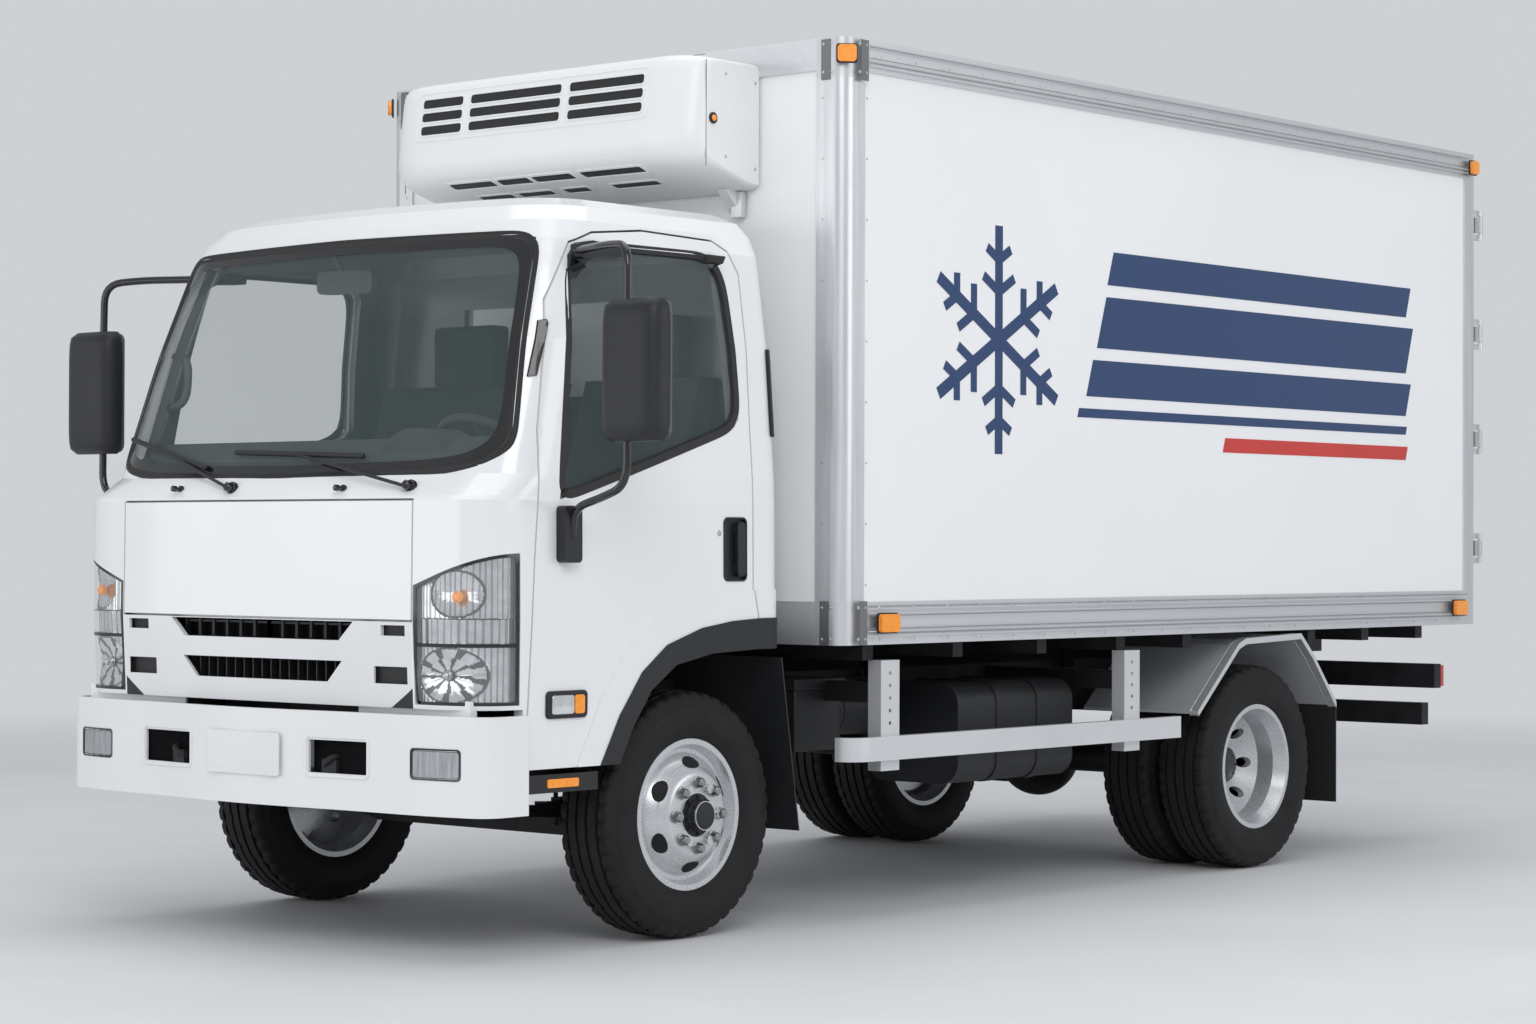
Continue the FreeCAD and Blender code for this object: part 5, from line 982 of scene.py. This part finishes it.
def make_screen_gear():
    gear = Form()
    for x in (-0.149, 0.573):
        spot = cab_front.point(x, 1.288, -0.002)
        gear.turned([(0, 0.019), (0.01, 0.019), (0.014, 0.016), (0.014, 0.013), (0.028, 0.013), (0.032, 0.009)],
                    spot, (0, -1, 0.25), 20)
    for x, z in ((-0.39, 1.287), (0.318, 1.284)):
        spot = cab_front.point(x, z, -0.002)
        gear.turned([(0, 0.012), (0.006, 0.012), (0.009, 0.006), (0.022, 0.006), (0.022, 0.009), (0.034, 0.009),
                     (0.036, 0.005)], spot, (0, -1, 0.1), 16)
    make(gear, "screen_washers", gloss, "cab")


def make_cab_inside():
    inner = Form()
    outline = round_rect(-0.215, -0.03, 1.872, 1.936, 0.018)
    inner.prism([at(x, -0.452 + (x + 0.14) * 0.25, z) for x, z in outline], (0, -0.022, 0))
    inner.tube([at(-0.14, -0.455, 1.93), at(-0.14, -0.5, 1.99), at(-0.14, -0.505, 2.03)], 0.009)
    make(inner, "inner_mirror", trim_grey, "cab", bevel=0.004)
    rail = Form().pipe(0.013, (-0.805, -0.572, 1.702), (-0.715, -0.566, 1.7), (-0.715, -0.576, 1.55),
                       (-0.81, -0.6, 1.546))
    make(rail, "grab_rail", trim_grey, "cab", 50)


# Painted shade: dark grey strips laid between the rail ribs stand for the shade in the rail's grooves.
groove_shade_grey = look_of("rail_groove", (0.26, 0.27, 0.28), 0.45, metal=0.4, vary=0.05, slot="corner_grey")
dark_mesh = look_of("dark_mesh", (0.012, 0.012, 0.013), 0.5, vary=0.4, spots=260, bump=0.8, grain=420,
                    slot="black_plastic")
fluted_lens = look_of("fluted_lens", (0.42, 0.44, 0.46), 0.16, metal=0.6, vary=0.25, spots=160,
                      stretch=(1, 1, 0.05), bump=0.6, grain=260, coat=0.6, slot="lamp_lens")
make_front_gear()
make_screen_gear()
make_cab_inside()


# Box: rivets, ribs on the rails, marker lamps and the livery
box_lo, box_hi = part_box("rear_frame")
box_x = box_hi.x
panel_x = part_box("box_sides")[1].x
rail_low_z = box_lo.z
box_top = box_hi.z
nose_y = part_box("corner_posts")[0].y - axle_y
tail_y = box_lo.y - axle_y
stripe_end_y = 3.86
stripe_lean = 0.32


def make_rivets():
    form = Form()
    count = 22
    for k in range(count):
        y = nose_y + 0.16 + (tail_y - nose_y - 0.24) * k / (count - 1)
        for z in (rail_low_z + 0.018, rail_low_z + 0.112):
            form.dome(at(box_x, y, z), ACROSS, 0.0055, 0.003)
        form.dome(at(box_x, y, box_top - 0.048), ACROSS, 0.0045, 0.0025)
    for k in range(9):
        z = rail_low_z + 0.18 + (box_top - rail_low_z - 0.36) * k / 8
        form.dome(at(box_x, nose_y + 0.094, z), ACROSS, 0.004, 0.002)
        form.dome(at(box_x - 0.094, nose_y, z), -BACK, 0.004, 0.002)
    for y in (0.06, 0.092):
        for z in (box_top - 0.02, box_top - 0.104, rail_low_z + 0.018, rail_low_z + 0.112):
            form.dome(at(box_x, nose_y + y, z), ACROSS, 0.006, 0.003)
            form.dome(at(box_x - y, nose_y, z), -BACK, 0.006, 0.003)
    make(form.both(), "box_rivets", steel, smooth=60)


def make_corner_flanges():
    form = Form()
    for z0, z1 in ((rail_low_z + 0.001, rail_low_z + 0.132), (box_top - 0.128, box_top - 0.006)):
        form.box(box_x - 0.001, nose_y + 0.064, z0, box_x + 0.0018, nose_y + 0.1, z1)
        form.box(box_x - 0.1, nose_y - 0.0018, z0, box_x - 0.064, nose_y + 0.001, z1)
    make(form.both(), "corner_flanges", flange_grey, smooth=0, bevel=0.0006)


def make_rail_ribs():
    form = Form()
    for z in (0.858, 0.872, 0.925, 0.939, 2.566, 2.58, 2.628):
        form.box(box_x - 0.001, nose_y + 0.106, z, box_x + 0.0022, tail_y, z + 0.004)
    make(form.both(), "rail_ribs", rail_metal, smooth=0, bevel=0.001)
    # Dark strips between the ribs: painted shade in the grooves.
    grooves = Form()
    for z in (0.8665, 0.8805, 0.9195, 0.9475, 2.5745, 2.5885, 2.6225):
        grooves.box(box_x - 0.0005, nose_y + 0.106, z, box_x + 0.0006, tail_y, z + 0.0025)
    make(grooves.both(), "rail_groove_shades", groove_shade_grey, smooth=0)


def make_marker(form_base, form_lens, spot, out, along, width, height):
    out = Vector(out)
    along = Vector(along)
    for form, grow, start, end in ((form_base, 0.006, 0.0, 0.006), (form_lens, 0.0, 0.006, 0.018)):
        outline = round_rect(-width / 2 - grow, width / 2 + grow, -height / 2 - grow, height / 2 + grow, 0.008)
        form.prism([spot + along * a + UP * b + out * start for a, b in outline], out * (end - start))


def make_box_lamps():
    base = Form()
    lens = Form()
    for y, z, width, height in ((0.707, 0.898, 0.085, 0.05), (4.223, 0.898, 0.085, 0.05),
                                (4.33, 2.591, 0.046, 0.046)):
        make_marker(base, lens, at(box_x, y, z), ACROSS, BACK, width, height)
    lean = sqrt(0.5)
    corner = at(box_x - 0.046 + 0.046 * lean, nose_y + 0.046 - 0.046 * lean, 2.594)
    make_marker(base, lens, corner, (lean, -lean, 0), (lean, lean, 0), 0.052, 0.046)
    make(base.both(), "marker_bases", plastic)
    make(lens.both(), "marker_lenses", amber, bevel=0.002)


def snow_star(form, centre_y, centre_z, reach):
    def bar(a, b, half, out):
        along = (b - a).normalized()
        side = Vector((-along.y, along.x)) * half
        outline = [a + side, b + side, b - side, a - side]
        form.prism([at(panel_x, p.x, p.y) for p in outline], (out, 0, 0))

    centre = Vector((centre_y, centre_z))
    for k in range(6):
        turn = radians(60 * k + 30)
        along = Vector((cos(turn), sin(turn)))
        bar(centre, centre + along * reach, reach * 0.055, 0.001 + 0.0001 * k)
        for share, length in ((0.42, 0.26), (0.7, 0.2)):
            root = centre + along * reach * share
            for lean in (-60, 60):
                way = turn + radians(lean)
                tip = root + Vector((cos(way), sin(way))) * reach * length
                bar(root, tip, reach * 0.042, 0.0017 + 0.0001 * (lean > 0))


def stripe(form, y0, y1, z0, z1):
    shift = stripe_lean * (z1 - z0)
    outline = [(y0, z0), (y1, z0), (y1 + shift, z1), (y0 + shift, z1)]
    form.prism([at(panel_x, y, z) for y, z in outline], (0.0012, 0, 0))


def make_livery():
    dark = Form()
    snow_star(dark, 1.3, 1.78, 0.36)
    for y0, z0, z1 in ((1.9, 1.99, 2.1), (1.84, 1.78, 1.95), (1.78, 1.62, 1.74), (1.73, 1.55, 1.58)):
        stripe(dark, y0, stripe_end_y, z0, z1)
    bright = Form()
    stripe(bright, 2.6, stripe_end_y, 1.455, 1.505)
    make(dark.both(), "livery_stripes", navy, smooth=0)
    make(bright.both(), "livery_accent", red_film, smooth=0)


make_corner_flanges()
make_rivets()
make_rail_ribs()
make_box_lamps()
make_livery()


# Cooling unit: moulded cover with louvres, screws and a sight glass on the side

# (distance behind the front axle, height) round the cover, from its upper rear edge
unit_profile = ((0.512, 2.585), (0.508, 2.596), (0.497, 2.6), (0.3, 2.6), (0.25, 2.599), (0.228, 2.593),
                (0.213, 2.578), (0.206, 2.552), (0.196, 2.48), (0.185, 2.39), (0.181, 2.35), (0.183, 2.325),
                (0.192, 2.302), (0.21, 2.283), (0.238, 2.268), (0.275, 2.256), (0.33, 2.241), (0.4, 2.222),
                (0.45, 2.209), (0.512, 2.204))
louvre_x = ((-0.493, -0.312), (-0.278, 0.118), (0.153, 0.463))
louvre_z = (2.43, 2.473, 2.516)
louvre_tall = 0.028
under_rows = ((0.228, 0.036, ((-0.405, -0.214), (-0.192, -0.057), (-0.04, 0.128), (0.167, 0.42))),
              (0.33, 0.034, ((-0.375, -0.23), (-0.2, -0.055), (-0.002, 0.1), (0.205, 0.392))))
unit_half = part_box("cooling_unit_cover")[1].x
turn_in = 0.15


def unit_shell():
    steps = [turn_in * (1 - cos(pi / 2 * k / 9)) for k in range(10)]
    ends = [unit_half - d for d in steps]
    rings = []
    for x in [-x for x in ends] + [-0.45 + 0.1 * k for k in range(10)] + ends[::-1]:
        share = max(0.0, (turn_in - (unit_half - abs(x))) / turn_in)
        fall = 1 - sqrt(max(0.0, 1 - share * share))
        rings.append([at(x, y + 0.082 * fall * (0.512 - y) / 0.334, z + (2.4 - z) * 0.1 * fall)
                      for y, z in unit_profile])
    return Form().loops(rings, caps=True)


def make_unit_cover():
    cover = unit_shell()
    tree = BVHTree.FromPolygons(cover.verts, cover.faces)
    front, below = Skin(tree, "front"), Skin(tree, "below")
    for x in (-0.576, 0.54):
        cover.prism([at(x, 0.442, 2.212), at(x, 0.512, 2.142), at(x, 0.512, 2.212)], (0.036, 0, 0))
    dark = Form()
    frames = Form()
    rows = [(front, z0, louvre_tall, louvre_x, 0.01, 0.006, 0.005, 0.0035) for z0 in louvre_z]
    rows += [(below, y0, deep, spans, 0.008, 0.01, 0.009, 0.003) for y0, deep, spans in under_rows]
    for skin, low, deep, spans, radius, over_x, over, proud in rows:
        for x0, x1 in spans:
            slot = round_rect(x0, x1, low, low + deep, radius)
            wide = round_rect(x0 - over_x, x1 + over_x, low - over, low + deep + over, 0.014)
            skin.patch(slot, 0.0002, 0.0008, dark)
            skin.ring(wide, slot, -0.001, proud, frames)
    front.ring(round_rect(-0.522, 0.49, 2.408, 2.566, 0.03), round_rect(-0.519, 0.487, 2.411, 2.563, 0.028),
               -0.001, 0.0022, frames)
    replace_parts(make(cover, "unit_cover", unit_white), "cooling_unit_cover")
    make(frames, "unit_louvre_frames", unit_white, smooth=30, bevel=0.001)
    make(dark, "unit_louvres", dark_mesh, smooth=0)
    seam = Form()
    seam.tube([at(unit_half, 0.27, z) for z in (2.262, 2.34, 2.42, 2.5, 2.578)], 0.0012, 6)
    seam.tube([at(x, 0.3, 2.6003) for x in (-unit_half + 0.03, -0.3, 0.3, unit_half - 0.03)], 0.001, 6)
    make(seam.both(), "unit_seams", trim_grey, smooth=0)
    strut = Form().box(0.556, 0.492, 2.128, 0.598, 0.512, 2.206)
    make(strut.both(), "unit_struts", aluminium, smooth=0, bevel=0.001)
    make_unit_gear(tree)


def make_unit_gear(tree):
    def on_side(y, z):
        return tree.ray_cast(at(3, y, z), -ACROSS)[0]

    screws = Form()
    for y, z in ((0.358, 2.545), (0.358, 2.297), (0.494, 2.53), (0.494, 2.27)):
        screws.dome(on_side(y, z), ACROSS, 0.006, 0.003)
    make(screws.both(), "unit_screws", steel)
    spot = on_side(0.3, 2.406)
    ring = Form().turned([(0, 0.017), (0.004, 0.017), (0.006, 0.014), (0.006, 0.002)], spot, ACROSS, 24)
    make(ring, "sight_ring", plastic)
    eye = Form().turned([(0.006, 0.01), (0.0085, 0.008), (0.009, 0.002)], spot, ACROSS, 20)
    # The amber sight glass glows a little: painted light, it is no lamp.
    make(eye, "sight_glass", amber)


# Underside: hubs of the rear wheels, hoses, sills, battery box and tanks, mudguard lips, bolts
lip_profile = ((0.712, 0.567), (0.97, 0.79), (1.015, 0.806), (1.379, 0.817), (1.462, 0.743), (1.622, 0.565))


def make_rear_hubs():
    base = middle("tyres_rear_left")
    base.x = rear_hub_x
    hub = Form().turned([(0, 0.088), (0.018, 0.086), (0.028, 0.067), (0.078, 0.061), (0.086, 0.05),
                         (0.088, 0.004)], base, ACROSS, 48)
    for turn in turns(8):
        hub.dome(around(base, 0.076, 0.046, turn), ACROSS, 0.008, 0.012)
    make_pair(hub, "rear_hub", gloss, "wheel_rear", slot="cast_dark")


def make_chassis_gear():
    hoses = Form()
    for k, x in enumerate((0.405, 0.43, 0.455)):
        hoses.pipe(0.009, (x, 0.44, 0.84 - 0.02 * k), (x + 0.02, 0.5, 0.74), (x - 0.01, 0.62, 0.7),
                   (0.372, 0.9 + 0.05 * k, 0.66))
    hoses.pipe(0.008, (0.365, 0.7, 0.735), (0.365, 2.2, 0.735))
    hoses.pipe(0.01, (0.38, 0.7, 0.6), (0.38, 1.25, 0.6))
    make(hoses.both(), "chassis_hoses", gloss, smooth=50, slot="rubber_black")
    # The sills are black chassis parts. Their matte near-black, darker and less shiny than the chassis paint,
    # is painted shade under the box.
    sills = Form()
    sills.box(0.372, 0.56, 0.728, 0.392, 3.96, 0.826)
    for y in (0.8, 1.35, 2.45, 3.3):
        sills.box(0.392, y, 0.7, 0.412, y + 0.06, 0.828)
    sills.box(0.352, 0.64, 0.56, 0.366, 0.98, 0.69)
    make(sills.both(), "floor_sills", painted_shade_black, smooth=30, bevel=0.002, slot="chassis_paint")
    store = Form()
    store.box(0.45, 0.63, 0.5, 0.7, 0.85, 0.705)
    store.box(0.44, 0.62, 0.69, 0.71, 0.86, 0.722)
    store.box(0.36, 0.65, 0.52, 0.46, 0.69, 0.56)
    store.box(0.36, 0.79, 0.52, 0.46, 0.83, 0.56)
    store.tube([at(0.52, 0.9, 0.61), at(0.52, 1.25, 0.61)], 0.082, 32)
    for y in (0.96, 1.18):
        store.tube([at(0.52, y, 0.61), at(0.52, y + 0.024, 0.61)], 0.086, 32)
        store.box(0.36, y, 0.64, 0.52, y + 0.024, 0.69)
    make(store.both(), "frame_stores", plastic, smooth=30, bevel=0.004)
    top = [Vector((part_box("rear_mudguards")[1].x - 0.03, y, z)) for y, z in lip_profile]
    lip = Form().prism([p + UP * 0.003 for p in top] + [p - UP * 0.016 for p in reversed(top)], (0.033, 0, 0))
    make(lip.both(), "mudguard_lips", rail_metal, smooth=30, bevel=0.001)
    bolts = Form()
    for x, y in ((0.38, 0.0), (0.435, tail_axle_y)):
        for dx, dy in ((-0.036, -0.045), (-0.036, 0.045), (0.036, -0.045), (0.036, 0.045)):
            bolts.tube([at(x + dx, y + dy, z) for z in (0.3, 0.45)], 0.007, 8)
    make(bolts.both(), "spring_bolts", chassis_black, smooth=50)
    rail = Form()
    for k in range(44):
        for z in (0.7, 0.56):
            rail.dome(at(0.35, -0.6 + 0.11 * k, z), ACROSS, 0.008, 0.004)
    make(rail.both(), "rail_bolts", chassis_black, smooth=50)
    pin = Form().turned([(0, 0.01), (0.006, 0.01), (0.008, 0.005), (0.022, 0.004)], at(0.3, 0.1, 2.128), UP, 16)
    make(pin, "roof_pin", plastic, "cab", 50)


tail_axle_y = middle("tyres_rear_left").y - axle_y
make_unit_cover()
make_chassis_gear()
make_rear_hubs()


# Floor, lights and camera
def make_stage():
    mesh = bpy.data.meshes.new("floor")
    rings = [[Vector((r * cos(t), r * sin(t), 0)) for t in turns(96)] for r in (4.0, 6.0, 8.0, 10.0, 12.0)]
    form = Form().loops(rings)
    form.closed_by(rings[0])
    mesh.from_pydata([tuple(v) for v in form.verts], [], form.faces)
    floor = bpy.data.objects.new("floor", mesh)
    scene.collection.objects.link(floor)
    look = Nodes(bpy.data.materials.new("studio_floor"))
    shade = look.spread(look.noise(0.9), 0, 1)
    reach = look.node("VectorMath", {0: look.place()}, operation="LENGTH")["Value"]
    look.shade({"Roughness": 0.6, "Specular IOR Level": 0.25, "Alpha": look.spread(reach, 1, 0, 7.0, 11.5),
                "Base Color": look.blend(shade, (0.72, 0.725, 0.74, 1), (0.77, 0.775, 0.79, 1))})
    mesh.materials.append(look.owner)


def make_light(name, place, target, size, power):
    data = bpy.data.lights.new(name, "AREA")
    data.shape = "RECTANGLE"
    data.size, data.size_y = size
    data.energy = power
    lamp = bpy.data.objects.new(name, data)
    lamp.location = place
    lamp.rotation_mode = "QUATERNION"
    lamp.rotation_quaternion = (Vector(target) - Vector(place)).to_track_quat("-Z", "Y")
    scene.collection.objects.link(lamp)


def make_world():
    scene.world = bpy.data.worlds.new("studio")
    world = Nodes(scene.world)
    sky = world.parts["Background"]
    world.put(sky.inputs, {"Color": (0.93, 0.96, 1.0, 1), "Strength": 0.55})
    seen = world.node("Background", {"Color": (0.615, 0.63, 0.655, 1)})["Background"]
    rays = world.node("LightPath", {})["Is Camera Ray"]
    mix = world.node("MixShader", {"Fac": rays, 1: sky.outputs["Background"], 2: seen})["Shader"]
    world.put(world.parts["World Output"].inputs, {"Surface": mix})


def make_camera():
    azimuth, pitch, roll = (radians(turn) for turn in (40.5, 0.518, 0.192))
    ahead = Vector((-sin(azimuth) * cos(pitch), cos(azimuth) * cos(pitch), sin(pitch)))
    flat = Vector((cos(azimuth), sin(azimuth), 0))
    lift = flat.cross(ahead)
    right = flat * cos(roll) + lift * sin(roll)
    up = lift * cos(roll) - flat * sin(roll)
    data = bpy.data.cameras.new("camera")
    data.sensor_width = 36
    data.lens = 36 * 3264.4 / 1536
    camera = bpy.data.objects.new("camera", data)
    camera.matrix_world = Matrix((right, up, -ahead)).transposed().to_4x4()
    camera.location = at(7.1, -6.992, 1.142)
    data.clip_end = 200
    scene.collection.objects.link(camera)
    scene.camera = camera
    scene.view_settings.view_transform = "Standard"


make_stage()
make_world()
make_light("key", (7.5, -8.0, 7.0), (0, 0, 1.2), (5, 5), 330)
make_light("front", (-3.5, -9.5, 2.1), (0, -2, 1.2), (9, 3.2), 125)
make_light("top", (0, 0, 8.5), (0, 0, 0), (7, 9), 240)
make_light("side", (9.5, 3.0, 3.5), (0, 1, 1.4), (6, 4), 130)
make_camera()
